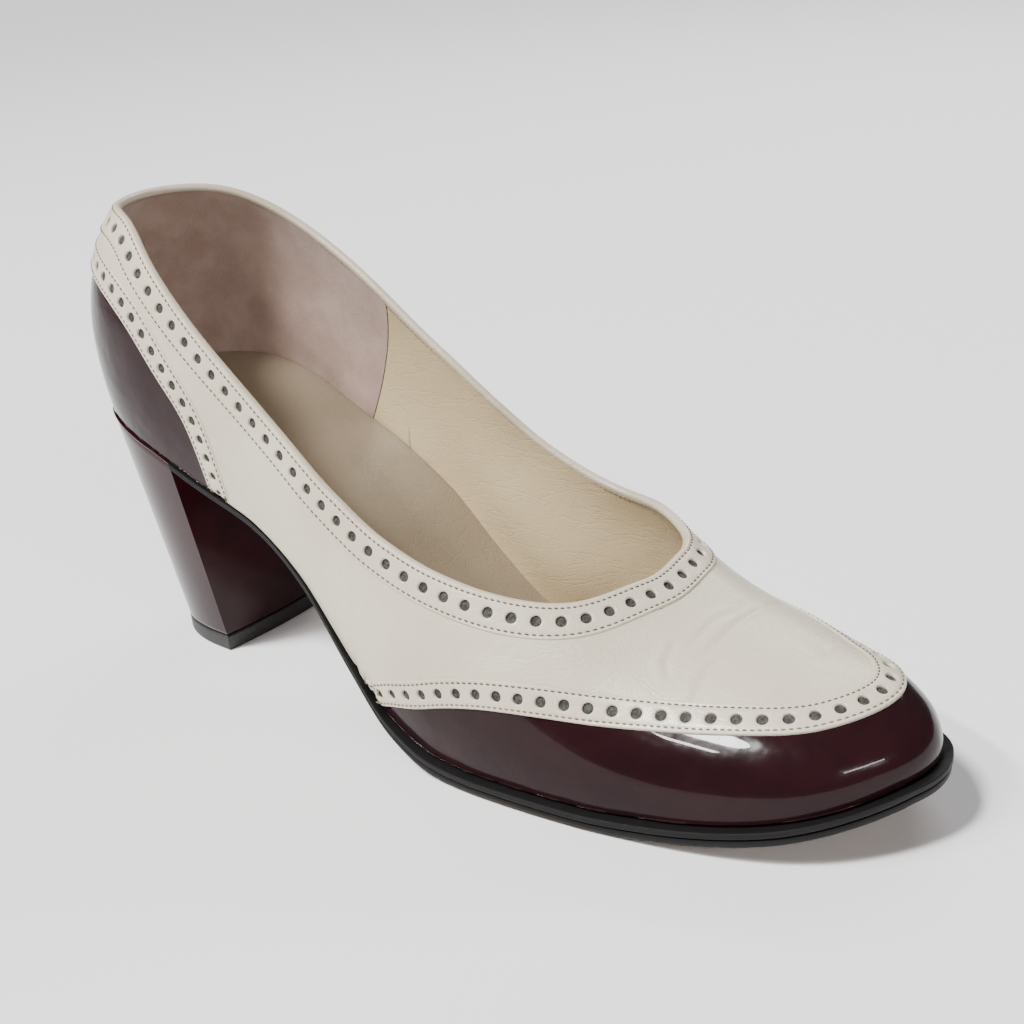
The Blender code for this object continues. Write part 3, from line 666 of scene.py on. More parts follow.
class Ribbon:
    """Strip of the last's surface beside a seam, with its own lengthwise and crosswise measure.

    The seam is marched sideways in small steps, each square to the seam and in the surface, so that
    v is the width from the seam and u the length along the middle of the strip.
    """

    def __init__(self, last: Last, knots: Sequence[tuple], width: float, to_right: bool,
                 run_on: tuple = (0.0, 0.0), samples: int = 560, steps: int = 16) -> None:
        """Lay out the strip.

        Args:
            last: The form.
            knots: Points (s, h) of the seam, in order.
            width: Width of the strip.
            to_right: True if the strip lies to the right of the seam, seen from outside.
            run_on: Lengths at the start and at the end that only guide the curve.
            samples: Places along the seam.
            steps: Steps across it.
        """
        self.last = last
        self.width = width
        points = np.array(knots, float)
        run = np.append(0.0, np.cumsum(np.linalg.norm(np.diff(last.surface(*points.T), axis=0), axis=1)))
        fine = spline(run, points, np.linspace(0.0, run[-1], samples))
        side_steps = [fine]
        for _ in range(steps):
            side_steps.append(self._beside(side_steps[-1], fine, width / steps, to_right))
        self.grid = np.stack(side_steps, axis=1)
        middle = last.surface(*self.grid[:, steps // 2].T)
        u = np.append(0.0, np.cumsum(np.linalg.norm(np.diff(middle, axis=0), axis=1)))
        seam = last.surface(*fine.T)
        along = np.append(0.0, np.cumsum(np.linalg.norm(np.diff(seam, axis=0), axis=1)))
        start, end = (float(np.interp(place, along, u)) for place in (run_on[0], along[-1] - run_on[1]))
        self.u = u - start
        self.total = end - start

    def _beside(self, line: Array, seam: Array, step: float, to_right: bool) -> Array:
        """Line a small step to the side of another.

        Args:
            line: Rows (s, h) to start from.
            seam: Rows (s, h) of the seam, which give the direction.
            step: Length of the step.
            to_right: True for a step to the right, seen from outside.

        Returns:
            Rows (s, h) one step on, each square to the seam and in the surface.
        """
        by_s, by_h = self.last.slopes(line[:, 0], line[:, 1])
        run = np.gradient(self.last.surface(seam[:, 0], seam[:, 1]), axis=0)
        normal = np.cross(by_s, by_h)
        side = np.cross(run, normal) if to_right else np.cross(normal, run)
        side *= step / np.linalg.norm(side, axis=1, keepdims=True)
        ss, sh, hh = ((a * b).sum(axis=1) for a, b in ((by_s, by_s), (by_s, by_h), (by_h, by_h)))
        ds, dh = ((a * side).sum(axis=1) for a in (by_s, by_h))
        det = ss * hh - sh * sh
        return line + np.stack([(hh * ds - sh * dh) / det, (ss * dh - sh * ds) / det], axis=1)

    def address(self, u: Array, v: Array) -> tuple[Array, Array]:
        """Point (s, h) of the last at u along and v across the strip, between grid lines by shares.

        Args:
            u: Length along the strip.
            v: Width across it from the seam.

        Returns:
            The values s and h.
        """
        u, v = np.broadcast_arrays(np.asarray(u, float), np.asarray(v, float))
        i = np.clip(np.searchsorted(self.u, u) - 1, 0, len(self.u) - 2)
        a = ((u - self.u[i]) / (self.u[i + 1] - self.u[i]))[..., None]
        place = v / self.width * (self.grid.shape[1] - 1)
        k = np.clip(np.floor(place).astype(int), 0, self.grid.shape[1] - 2)
        b = (place - k)[..., None]
        low = self.grid[i, k] * (1 - a) + self.grid[i + 1, k] * a
        high = self.grid[i, k + 1] * (1 - a) + self.grid[i + 1, k + 1] * a
        found = low * (1 - b) + high * b
        return found[..., 0], found[..., 1]

    def point(self, u: Array, v: Array, level: Union[float, Array]) -> Array:
        """Point at a level over the strip, in the frame of the solids."""
        s, h = self.address(u, v)
        return self.last.raised(s, h, level)

    def line(self, v: float) -> Array:
        """The strip's line at v across, as (s, h) rows."""
        inside = (self.u >= 0.0) & (self.u <= self.total)
        u = np.concatenate([[0.0], self.u[inside], [self.total]])
        return np.stack(self.address(u, np.full(u.shape, v)), axis=1)


# Meshes

def grid_faces(rows: int, cols: int, start: int = 0) -> Array:
    """Quads of a grid of points stored row by row."""
    i, j = np.meshgrid(np.arange(rows - 1), np.arange(cols - 1), indexing="ij")
    a = (start + i * cols + j).ravel()
    return np.stack([a, a + cols, a + cols + 1, a + 1], axis=1)


def piece(name: str, points: Array, faces: Array, finishes: Sequence[Finish], replaced: Sequence[str],
          which: Optional[Array] = None, merge: float = 2e-7,
          sharp: Optional[float] = None) -> bpy.types.Object:
    """Make one piece of the shoe and fix it to the frame.

    Args:
        name: Piece name.
        points: Points, one row each.
        faces: Point numbers of each face, one row each.
        finishes: Finishes in the order of the face numbers.
        replaced: CAD nodes that it stands for. They are hidden.
        which: Finish number of each face.
        merge: Distance under which points become one.
        sharp: Angle in degrees over which an edge is left sharp.

    Returns:
        The object.
    """
    mesh = bpy.data.meshes.new(name)
    mesh.from_pydata(points.reshape(-1, 3).tolist(), [], faces.tolist())
    if which is not None:
        mesh.polygons.foreach_set("material_index", np.asarray(which, np.int32))
    build = bmesh.new()
    build.from_mesh(mesh)
    bmesh.ops.remove_doubles(build, verts=build.verts, dist=merge)
    bmesh.ops.dissolve_degenerate(build, edges=build.edges, dist=merge)
    build.to_mesh(mesh)
    build.free()
    for finish in finishes:
        mesh.materials.append(finish.material)
    mesh.polygons.foreach_set("use_smooth", np.ones(len(mesh.polygons), bool))
    if sharp is not None:
        mesh.set_sharp_from_angle(angle=math.radians(sharp))
    thing = bpy.data.objects.new(name, mesh)
    bpy.context.scene.collection.objects.link(thing)
    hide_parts(*replaced)
    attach(thing, "root")
    LOG.info("%s: %d points, %d faces", name, len(mesh.vertices), len(mesh.polygons))
    return thing


def read_line(line: Array, s: Array, after: float, before: float = 0.0) -> Array:
    """Height h of a line of (s, h) rows at s.

    Args:
        line: Rows (s, h).
        s: Places to read.
        after: Height past the line's last place.
        before: Height before its first place.

    Returns:
        Heights.
    """
    order = np.argsort(line[:, 0], kind="stable")
    return np.interp(s, line[order, 0], line[order, 1], left=before, right=after)


# The upper

@dataclass
class Lines:
    """Seam lines of the upper, as knots (s, h) on the last, and the widths of its bands."""

    topline_width: float = 0.0080
    edge_width: float = 0.0070

    COLLAR_OUTER = (
        (0.000, 0.684), (0.080, 0.681), (0.160, 0.661), (0.205, 0.557), (0.245, 0.457), (0.285, 0.390),
        (0.335, 0.351), (0.400, 0.355), (0.455, 0.385), (0.512, 0.413), (0.570, 0.448), (0.620, 0.516),
        (0.658, 0.632), (0.681, 0.795),
    )
    THROAT = (0.687, 1.0)
    COLLAR_INNER = (
        (0.680, 0.870), (0.652, 0.699), (0.602, 0.521), (0.545, 0.456), (0.485, 0.444), (0.427, 0.430),
        (0.370, 0.408), (0.312, 0.420), (0.255, 0.460), (0.195, 0.535), (0.140, 0.625), (0.075, 0.675),
    )
    COUNTER = (
        (-0.316, -0.060), (-0.314, 0.000), (-0.312, 0.130), (-0.302, 0.220), (-0.275, 0.281), (-0.201, 0.352),
        (-0.080, 0.455), (0.000, 0.459), (0.080, 0.446), (0.140, 0.410), (0.190, 0.325), (0.222, 0.231),
        (0.244, 0.165), (0.254, 0.090), (0.258, 0.000), (0.260, -0.060),
    )
    WING = (
        (0.464, -0.060), (0.476, 0.000), (0.514, 0.075), (0.579, 0.166), (0.639, 0.238), (0.691, 0.313),
        (0.742, 0.383), (0.790, 0.438), (0.838, 0.493), (0.892, 0.538), (0.950, 0.572), (1.000, 0.590),
        (1.050, 0.585), (1.110, 0.562), (1.228, 0.455), (1.335, 0.272), (1.418, 0.160), (1.478, 0.078),
        (1.514, 0.000), (1.527, -0.060),
    )

    def ribbons(self, last: Last) -> dict[str, Ribbon]:
        """Lay out the three punched bands on the last."""
        inner = [(s, 2.0 - h) for s, h in self.COLLAR_INNER]
        lead = [(-s, h) for s, h in self.COLLAR_INNER[-2:]]
        tail = [(-s, 2.0 - h) for s, h in self.COLLAR_OUTER[:3]]
        collar = lead + list(self.COLLAR_OUTER) + [self.THROAT] + inner + tail
        guides = (np.array(lead + [self.COLLAR_OUTER[0]]), np.array(tail))
        run_on = tuple(float(np.linalg.norm(np.diff(last.surface(*guide.T), axis=0), axis=1).sum())
                       for guide in guides)
        return {
            "topline": Ribbon(last, collar, self.topline_width, True, run_on, 900),
            "wing": Ribbon(last, self.WING, self.edge_width, False),
            "counter": Ribbon(last, self.COUNTER, self.edge_width, False),
        }


@dataclass
class Upper:
    """Leather of the upper: body, patent wing toe and counter, and the linings inside."""

    last: Last
    ribbons: dict[str, Ribbon]
    wall: float = 0.0017
    patent_level: float = -0.00035
    under_edge: float = 0.0018
    under_body: float = 0.0049
    under_topline: float = 0.0064
    columns: int = 430
    rows: int = 100
    panel_columns: int = 420
    panel_rows: int = 60
    lining_columns: int = 200
    lining_rows: int = 60
    hem: float = 0.03
    body_waves: float = 0.00006
    patent_waves: float = 0.00007
    lining_waves: float = 0.00010
    crease_wander: float = 0.0004
    under_rim: float = 0.0006
    suede_step: float = 0.00025
    lining_overlap: float = 0.003

    # Seam between the two linings: s at the feather, and its change and bend on the way up
    LINING_SEAM = (0.272, 0.075, -0.027)
    # Padded arch on the inner side: its middle (s, h), its half length and half height there, its depth
    ARCH = (0.50, 0.16, 0.085, 0.17, 0.0058)
    # Creases of the forepart: start x, start y, end x, end y in the last's frame, half width, depth
    CREASES = (
        (0.1895, 0.0216, 0.1870, -0.0090, 0.0010, 0.00034),
        (0.1855, 0.0120, 0.1830, -0.0066, 0.0008, 0.00026),
        (0.1799, -0.0085, 0.1832, -0.0165, 0.0008, 0.00026),
        (0.1901, -0.0049, 0.1907, -0.0191, 0.0010, 0.00024),
        (0.1397, -0.0347, 0.1491, -0.0298, 0.0007, 0.00018),
        (0.1419, -0.0348, 0.1529, -0.0292, 0.0007, 0.00018),
        (0.1451, -0.0345, 0.1550, -0.0293, 0.0007, 0.00016),
        (0.1055, -0.0338, 0.1062, -0.0322, 0.0007, 0.00030),
        (0.1690, 0.0330, 0.1560, 0.0370, 0.0009, 0.00024),
    )

    def creases(self, s: Array, h: Array) -> Array:
        """Level of the creases: a trough with a soft ridge beside it along each short line.

        Args:
            s: Share of the way from heel to toe.
            h: Share of the way up and over.

        Returns:
            Level at each point: a bell curve across each line, less half a wider one beside it.
        """
        place = self.last.surface(s, h)[..., :2]
        level = np.zeros(place.shape[:-1])
        for x0, y0, x1, y1, half, depth in self.CREASES:
            start, run = np.array([x0, y0]), np.array([x1 - x0, y1 - y0])
            length = np.hypot(*run)
            t = ((place - start) @ run) / length**2
            off = ((place[..., 0] - x0) * run[1] - (place[..., 1] - y0) * run[0]) / length
            off = off + self.crease_wander * np.sin(7.0 * t + 40.0 * x0)
            fade = smooth_step(t, -0.15, 0.2) * (1.0 - smooth_step(t, 0.8, 1.15))
            trough = np.exp(-((off / half) ** 2)) - 0.5 * np.exp(-(((off - 2.2 * half) / (1.6 * half)) ** 2))
            level -= depth * fade * trough
        return level

    def waves(self, s: Array, h: Array) -> Array:
        """Slow unevenness of lasted leather: a few sines crossed, in shares of its height."""
        x, y, z = np.moveaxis(self.last.surface(s, h), -1, 0)
        crossed = np.sin(210 * x + 90 * z) * np.sin(170 * y + 60 * x)
        return 0.5 * crossed + 0.5 * np.sin(120 * x - 260 * z + 70 * y)

    def crossing(self, line: Array) -> float:
        """Value of s where a line round the throat passes the ridge."""
        order = np.argsort(line[:, 1])
        return float(np.interp(1.0, line[order, 1], line[order, 0]))

    def top_of(self, line: Array, inner: bool, s: Array) -> Array:
        """Height up from the foot of a line round the throat, on one side, and 1 ahead of it.

        Args:
            line: Rows (s, h).
            inner: True on the inner side.
            s: Places to read.

        Returns:
            Heights up from the feather of that side.
        """
        half = line[line[:, 1] > 1.0] if inner else line[line[:, 1] < 1.0]
        ahead = self.crossing(line)
        half = half[half[:, 0] < ahead - 0.0003]
        up = 2.0 - half[:, 1] if inner else half[:, 1]
        knots = np.vstack([np.stack([half[:, 0], up], axis=1), [ahead, 1.0]])
        return np.where(s >= ahead, 1.0, np.minimum(read_line(knots, s, 1.0), 1.0))

    def body(self) -> bpy.types.Object:
        """White body: from under the edge bands, or the feather, up to under the topline band."""
        topline = self.ribbons["topline"].line(self.under_topline)
        counter = self.ribbons["counter"].line(self.under_body)
        wing = self.ribbons["wing"].line(self.under_body)
        s = np.unique(np.concatenate([np.linspace(0.0, 1.0, self.columns),
                                      self.crossing(topline) + np.linspace(-0.02, 0.004, 20)]))
        points, faces, start = [], [], 0
        for inner in (False, True):
            low = read_line(counter, -s if inner else s, 0.0)
            low = np.maximum(low, read_line(wing, 2.0 - s if inner else s, 0.0))
            low = np.where(low <= 0.0, -self.hem, low)
            high = np.maximum(self.top_of(topline, inner, s), low)
            up = low[:, None] + (high - low)[:, None] * np.linspace(0.0, 1.0, self.rows)
            h = 2.0 - up if inner else up
            wide = np.broadcast_to(s[:, None], h.shape)
            level = self.creases(wide, h) + self.body_waves * self.waves(wide, h)
            points.append(self.last.raised(wide, h, level).reshape(-1, 3))
            quads = grid_faces(*h.shape, start)
            faces.append(quads[:, ::-1] if inner else quads)
            start += h.size
        return piece("upper_body", np.vstack(points), np.vstack(faces), [Finish.BODY], ["upper"])

    def panel(self, name: str, ribbon: Ribbon, node: str) -> bpy.types.Object:
        """Patent panel from the feather up to under its white band, slightly uneven.

        Args:
            name: Piece name.
            ribbon: The band over its edge.
            node: CAD node that it stands for.

        Returns:
            The panel.
        """
        line = ribbon.line(self.under_edge)
        line = line[line[:, 1] >= -0.02]
        knots = np.append(0.0, np.cumsum(np.linalg.norm(np.diff(self.last.surface(*line.T), axis=0), axis=1)))
        t = np.linspace(0.0, knots[-1], self.panel_columns)
        edge = np.stack([np.interp(t, knots, line[:, k]) for k in (0, 1)], axis=1)
        first, final = edge[0, 0], edge[-1, 0]
        share = np.linspace(0.0, 1.0, self.panel_rows)[None, :]
        foot = np.interp(t, [0.0, t[-1]], [first, final])
        s = foot[:, None] + (edge[:, :1] - foot[:, None]) * share
        h = -self.hem + (edge[:, 1:] + self.hem) * share
        level = self.patent_level + self.patent_waves * self.waves(1.3 * s, h)
        points = self.last.raised(s, h, level)
        return piece(name, points, grid_faces(*s.shape), [Finish.PATENT], [node])

    def linings(self) -> list[bpy.types.Object]:
        """Suede round the heel and smooth leather in front of it, on the inside of the wall."""
        rim = self.ribbons["topline"].line(self.under_rim)
        low, change, bend = self.LINING_SEAM
        arch_s, arch_up, arch_length, arch_height, arch_depth = self.ARCH
        made = []
        parts = (("lining_heel", Finish.SUEDE, True), ("lining_forepart", Finish.LINING, False))
        for name, finish, front in parts:
            points, faces, start = [], [], 0
            for inner in (False, True):
                share = np.linspace(0.0, 1.0, self.lining_rows)
                middle = low + change * share + bend * share**2
                ends = (0.0 * middle, middle + self.lining_overlap) if front else (middle, 0.0 * middle + 1.0)
                turn = np.linspace(0.0, 1.0, self.lining_columns)[:, None] ** (1.0 if front else 0.8)
                s = ends[0] + (ends[1] - ends[0]) * turn
                if not front:
                    nearest = np.argmin(np.abs(s - self.crossing(rim)), axis=0)
                    s[nearest, np.arange(self.lining_rows)] = self.crossing(rim)
                up = self.top_of(rim, inner, s) * share[None, :]
                h = 2.0 - up if inner else up
                step = self.suede_step if front else 0.0
                level = -self.wall - step + self.lining_waves * self.waves(s, h)
                if inner and not front:
                    away = ((s - arch_s) / arch_length) ** 2 + ((up - arch_up) / arch_height) ** 2
                    level = level - arch_depth * np.exp(-away)
                points.append(self.last.raised(s, h, level).reshape(-1, 3))
                quads = grid_faces(*h.shape, start)
                faces.append(quads if inner else quads[:, ::-1])
                start += h.size
            made.append(piece(name, np.vstack(points), np.vstack(faces), [finish], ["upper"]))
        return made

    def build(self) -> list[bpy.types.Object]:
        """Make every leather surface of the upper."""
        panels = [self.panel("wing_toe_patent", self.ribbons["wing"], "wing_toe"),
                  self.panel("counter_patent", self.ribbons["counter"], "counter")]
        return [self.body()] + panels + self.linings()


@dataclass
class PunchedBand:
    """White strip with a row of punched holes and two rows of stitches.

    One cell of the strip holds one hole: rings of points run from the hole's floor over its rounded lip
    out to a square, and plain rows lead from the square to the strip's edges. The cell is repeated along
    the ribbon and every point is put on the last.
    """

    name: str
    ribbon: Ribbon
    node: str
    holes: int
    hole_radius: float = 0.00130
    hole_place: float = 0.0035
    rows: tuple = (0.0010, 0.0061)
    reach: float = 0.0020
    row_threads: tuple = (Finish.PALE_THREAD, Finish.THREAD)
    raise_: float = 0.00038
    thickness: float = 0.00075
    edge_fold: float = 0.00045
    sink: float = 0.0014
    seam_level: float = -0.00035
    far_level: float = -0.00010
    stitch: float = 0.00115
    stitch_gap: float = 0.00035
    thread: float = 0.00021
    end_shrink: float = 0.0
    end_width: float = 1.0
    skip: Optional[Callable[[Array, Array], Array]] = None
    square: int = 6
    dip: float = 0.00011
    dip_width: float = 0.00032
    row_spread: float = 0.0003
    far_fold: float = 0.7
    shrink_reach: float = 0.030
    thread_rings: int = 6
    thread_sides: int = 6

    # Lip of a hole from outside in: share of its radius, depth under the strip
    LIP = ((1.22, 0.0), (1.08, 0.00005), (1.0, 0.00018), (0.97, 0.00036))
    FLOOR_SHARE = 0.96
    # Rows of the folded edge, in shares of the fold
    FOLD_ROWS = (0.0, 0.06, 0.2, 0.45, 0.75, 1.0)
    # Depth under the feather, in h, over which the strip sinks in behind the sole's lip
    SINK = (-0.018, 0.014)
    # Length from the strip's end over which it gets its full width
    TAPER = (-0.002, 0.026)

    def level(self, v: Array) -> Array:
        """Height of the strip at v: a quarter round at either edge, less a bell curve at each stitch row."""
        width = self.ribbon.width
        near = np.clip(v / self.edge_fold, 0.0, 1.0)
        far = np.clip((width - v) / (self.far_fold * self.edge_fold), 0.0, 1.0)
        round_near = np.sqrt(1.0 - (1.0 - near) ** 2)
        round_far = np.sqrt(1.0 - (1.0 - far) ** 2)
        level = self.seam_level + (self.raise_ - self.seam_level) * round_near
        level = np.minimum(level, self.far_level + (self.raise_ - self.far_level) * round_far)
        for row in self.rows:
            level = level - self.dip * np.exp(-(((v - row) / self.dip_width) ** 2))
        return level

    def cell(self, half: float, radius: float) -> tuple[Array, Array, Array, Array]:
        """One cell of the strip.

        Args:
            half: Half the cell's length along the strip.
            radius: The hole's radius.

        Returns:
            Shares along and widths across of its points, how far each lies under the strip, and its quads.
        """
        n = self.square
        line = np.linspace(-1.0, 1.0, n + 1)
        side = np.ones(n)
        around = np.vstack([np.stack([line[:-1], -side], 1), np.stack([side, line[:-1]], 1),
                            np.stack([-line[:-1], side], 1), np.stack([-side, -line[:-1]], 1)])
        reach = self.reach
        outer = around * (half, reach)
        direction = outer / np.linalg.norm(outer, axis=1, keepdims=True)
        rings = [outer, 0.45 * outer + 0.55 * direction * radius * 1.3]
        drops = [0.0, 0.0]
        for share, drop in self.LIP + ((self.FLOOR_SHARE, self.thickness),):
            rings.append(direction * radius * share)
            drops.append(drop)
        count = len(around)
        ring_points = np.stack(rings)
        drop = np.repeat(np.array(drops)[:, None], count, axis=1)
        i, j = np.meshgrid(np.arange(len(rings) - 1), np.arange(count), indexing="ij")
        a, b = i * count + j, i * count + (j + 1) % count
        quads = [np.stack([a, b, b + count, a + count], axis=-1).reshape(-1, 4)]
        across = [ring_points.reshape(-1, 2)]
        drops_all = [drop.ravel()]
        start = ring_points.shape[0] * count
        low, high = self.hole_place - reach, self.hole_place + reach
        fold, width = self.edge_fold, self.ribbon.width
        spread = self.row_spread * np.arange(-2, 3)
        near_fold = fold * np.array(self.FOLD_ROWS)
        far_fold = width - self.far_fold * fold * np.array(self.FOLD_ROWS)
        near_rows = np.unique(np.clip(np.concatenate([near_fold, self.rows[0] + spread, [low]]), 0.0, low))
        far_rows = np.unique(np.clip(np.concatenate([[high], self.rows[1] + spread, far_fold]), high, width))
        for rows in (near_rows, far_rows):
            x, y = np.meshgrid(line * half, rows - self.hole_place, indexing="ij")
            across.append(np.stack([x.ravel(), y.ravel()], axis=1))
            drops_all.append(np.zeros(x.size))
            quads.append(grid_faces(len(line), len(rows), start))
            start += x.size
        points = np.vstack(across)
        along, places = points[:, 0] / half, points[:, 1] + self.hole_place
        return along, places, np.concatenate(drops_all), np.vstack(quads)

    def hole_places(self) -> tuple[Array, Array]:
        """Middle of each hole along the ribbon, and its radius, which shrinks towards the ends."""
        pitch = self.ribbon.total / self.holes
        middle = (np.arange(self.holes) + 0.5) * pitch
        from_end = np.minimum(middle, self.ribbon.total - middle)
        shrink = 1.0 - self.end_shrink * (1.0 - smooth_step(from_end, 0.0, self.shrink_reach))
        return middle, self.hole_radius * shrink

    def taper(self, u: Array) -> Array:
        """Width of the strip at u in shares of its full width: less towards the ends."""
        from_end = np.minimum(u, self.ribbon.total - u)
        return self.end_width + (1.0 - self.end_width) * smooth_step(from_end, *self.TAPER)

    def strip(self) -> bpy.types.Object:
        """The leather strip."""
        pitch = self.ribbon.total / self.holes
        middle, radii = self.hole_places()
        points, faces, start = [], [], 0
        for place, radius in zip(middle, radii):
            along, across, drop, quads = self.cell(0.5 * pitch, radius)
            u = place + along * 0.5 * pitch
            s, h = self.ribbon.address(u, across * self.taper(u))
            below = np.maximum(-h, h - 2.0)
            level = self.level(across) - drop - self.sink * smooth_step(below, *self.SINK)
            points.append(self.ribbon.last.raised(s, h, level))
            faces.append(quads + start)
            start += len(along)
        made = piece(self.name + "_band", np.vstack(points), np.vstack(faces), [Finish.BAND], [self.node],
                     merge=4e-6)
        face_outwards(made, self.ribbon.last)
        return made

    def backing(self) -> bpy.types.Object:
        """Dark backing that shows through the holes."""
        u = np.linspace(0.0, self.ribbon.total, 2 * self.holes)
        v = self.hole_place + self.reach * np.array([-1.0, 0.0, 1.0])
        u, v = np.meshgrid(u, v, indexing="ij")
        points = self.ribbon.point(u, v * self.taper(u), self.raise_ - self.thickness + 0.0001)
        made = piece(self.name + "_hole_backing", points, grid_faces(*u.shape), [Finish.HOLE_FLOOR],
                     [self.node])
        face_outwards(made, self.ribbon.last)
        return made

    def stitches(self, v: float, thread: Finish, label: str) -> bpy.types.Object:
        """One row of stitches: each is a short rod, half sunk, its thickness half an ellipse along it.

        Args:
            v: Width across the strip at which the row lies.
            thread: Finish of the thread.
            label: End of the piece's name.

        Returns:
            The row.
        """
        pitch = self.stitch + self.stitch_gap
        count = int(self.ribbon.total / pitch)
        u = (np.arange(count) + 0.5) * self.ribbon.total / count
        s, h = self.ribbon.address(u, v * self.taper(u))
        keep = np.ones(count, bool) if self.skip is None else ~self.skip(s, h)
        keep &= (h > 0.0) & (h < 2.0)
        u = u[keep]
        rings, sides = self.thread_rings, self.thread_sides
        along = np.linspace(-0.5, 0.5, rings)
        turn = np.linspace(0.0, 2.0 * np.pi, sides + 1)[:-1]
        half = 0.5 * self.stitch
        swell = np.sqrt(np.clip(1.0 - (1.96 * along) ** 2, 0.02, 1.0)) * self.thread
        run_u = u[:, None] + along * self.stitch
        centre = self.ribbon.point(run_u, v * self.taper(run_u),
                                   self.level(np.array(v)) + 0.00006 - 0.00012 * (2.0 * along) ** 2)
        run = centre[:, -1] - centre[:, 0]
        run /= np.linalg.norm(run, axis=1, keepdims=True)
        normal = self.ribbon.last.outward(*self.ribbon.address(u, v * self.taper(u)))
        side = np.cross(run, normal)
        ring = (side[:, None, None] * np.cos(turn)[None, None, :, None]
                + normal[:, None, None] * np.sin(turn)[None, None, :, None]) * swell[None, :, None, None]
        slant = side[:, None, None] * (along * half * 0.10)[None, :, None, None]
        points = centre[:, :, None] + ring + slant
        i, j = np.meshgrid(np.arange(rings - 1), np.arange(sides), indexing="ij")
        a, b = i * sides + j, i * sides + (j + 1) % sides
        tube = np.stack([a, a + sides, b + sides, b], axis=-1).reshape(-1, 4)
        first = rings * sides * np.arange(len(u))[:, None, None]
        quads = (tube[None] + first).reshape(-1, 4)
        near_cap = np.array([[5, 4, 3, 2], [5, 2, 1, 0]])
        far_cap = np.array([[0, 1, 2, 3], [0, 3, 4, 5]]) + (rings - 1) * sides
        ends = (np.vstack([near_cap, far_cap])[None] + first).reshape(-1, 4)
        faces = np.vstack([quads, ends])
        return piece(self.name + "_" + label, points, faces, [thread], [self.node], merge=1e-8)

    def build(self) -> list[bpy.types.Object]:
        """Make the strip, its backing and its two rows of stitches."""
        made = [self.strip(), self.backing()]
        labels = ("stitches_near", "stitches_far")
        rows = zip(self.rows, self.row_threads, labels)
        return made + [self.stitches(*row) for row in rows]


def face_outwards(thing: bpy.types.Object, last: Last) -> None:
    """Turn every face of an open piece on the last so that it points away from the last's middle line."""
    mesh = thing.data
    count = len(mesh.polygons)
    centres, normals = np.empty(count * 3), np.empty(count * 3)
    mesh.polygons.foreach_get("center", centres)
    mesh.polygons.foreach_get("normal", normals)
    centres, normals = centres.reshape(-1, 3), normals.reshape(-1, 3)
    inside = centres.copy()
    low = last.feather_height(centres[:, 0] - last.origin[0])
    inside[:, 1] = last.origin[1]
    inside[:, 2] = np.minimum(low + 0.010, centres[:, 2] - 0.004)
    wrong = ((centres - inside) * normals).sum(axis=1)
    if wrong.mean() < 0.0:
        mesh.flip_normals()


@dataclass
class CollarEdge:
    """Turned edge that closes the wall round the opening: a rounded rim from the band over to the lining."""

    ribbon: Ribbon
    wall: float = 0.0017
    places: int = 620
    stitch_place: float = 0.0013
    stitch_level: float = -1.08

    # level over the last and width down from the rim line, in shares of the wall
    SECTION = (
        (0.17, 0.62), (0.19, 0.40), (0.17, 0.16), (0.06, -0.04), (-0.12, -0.17), (-0.36, -0.23),
        (-0.62, -0.22), (-0.85, -0.12), (-1.00, 0.06), (-1.06, 0.30), (-1.07, 0.62), (-1.03, 0.95),
    )

    def rim(self) -> bpy.types.Object:
        """The rim: the section is carried along the collar line."""
        u = np.linspace(0.0, self.ribbon.total, self.places)
        level, down = (np.array(column) * self.wall for column in zip(*self.SECTION))
        top = self.ribbon.point(u, 0.0 * u, 0.0 * u)
        below = self.ribbon.point(u, 0.0 * u + 0.001, 0.0 * u)
        normal = self.ribbon.last.outward(*self.ribbon.address(u, 0.0 * u))
        fall = below - top
        fall /= np.linalg.norm(fall, axis=1, keepdims=True)
        points = top[:, None] + normal[:, None] * level[None, :, None] + fall[:, None] * down[None, :, None]
        points[-1] = points[0] = 0.5 * (points[0] + points[-1])
        faces = grid_faces(len(u), len(level))
        return piece("collar_rim", points, faces[:, ::-1], [Finish.BINDING], ["upper"])

    def inner_stitches(self) -> bpy.types.Object:
        """Fine stitches on the inside, just under the rim."""
        level = self.wall * self.stitch_level
        row = PunchedBand("collar_inside", self.ribbon, "upper", 10, stitch=0.0011, stitch_gap=0.0004,
                          thread=0.00014, raise_=level, seam_level=level, far_level=level)
        return row.stitches(self.stitch_place, Finish.PALE_THREAD, "stitches")

    def build(self) -> list[bpy.types.Object]:
        """Make the rim and its stitches."""
        return [self.rim(), self.inner_stitches()]


# Under the foot

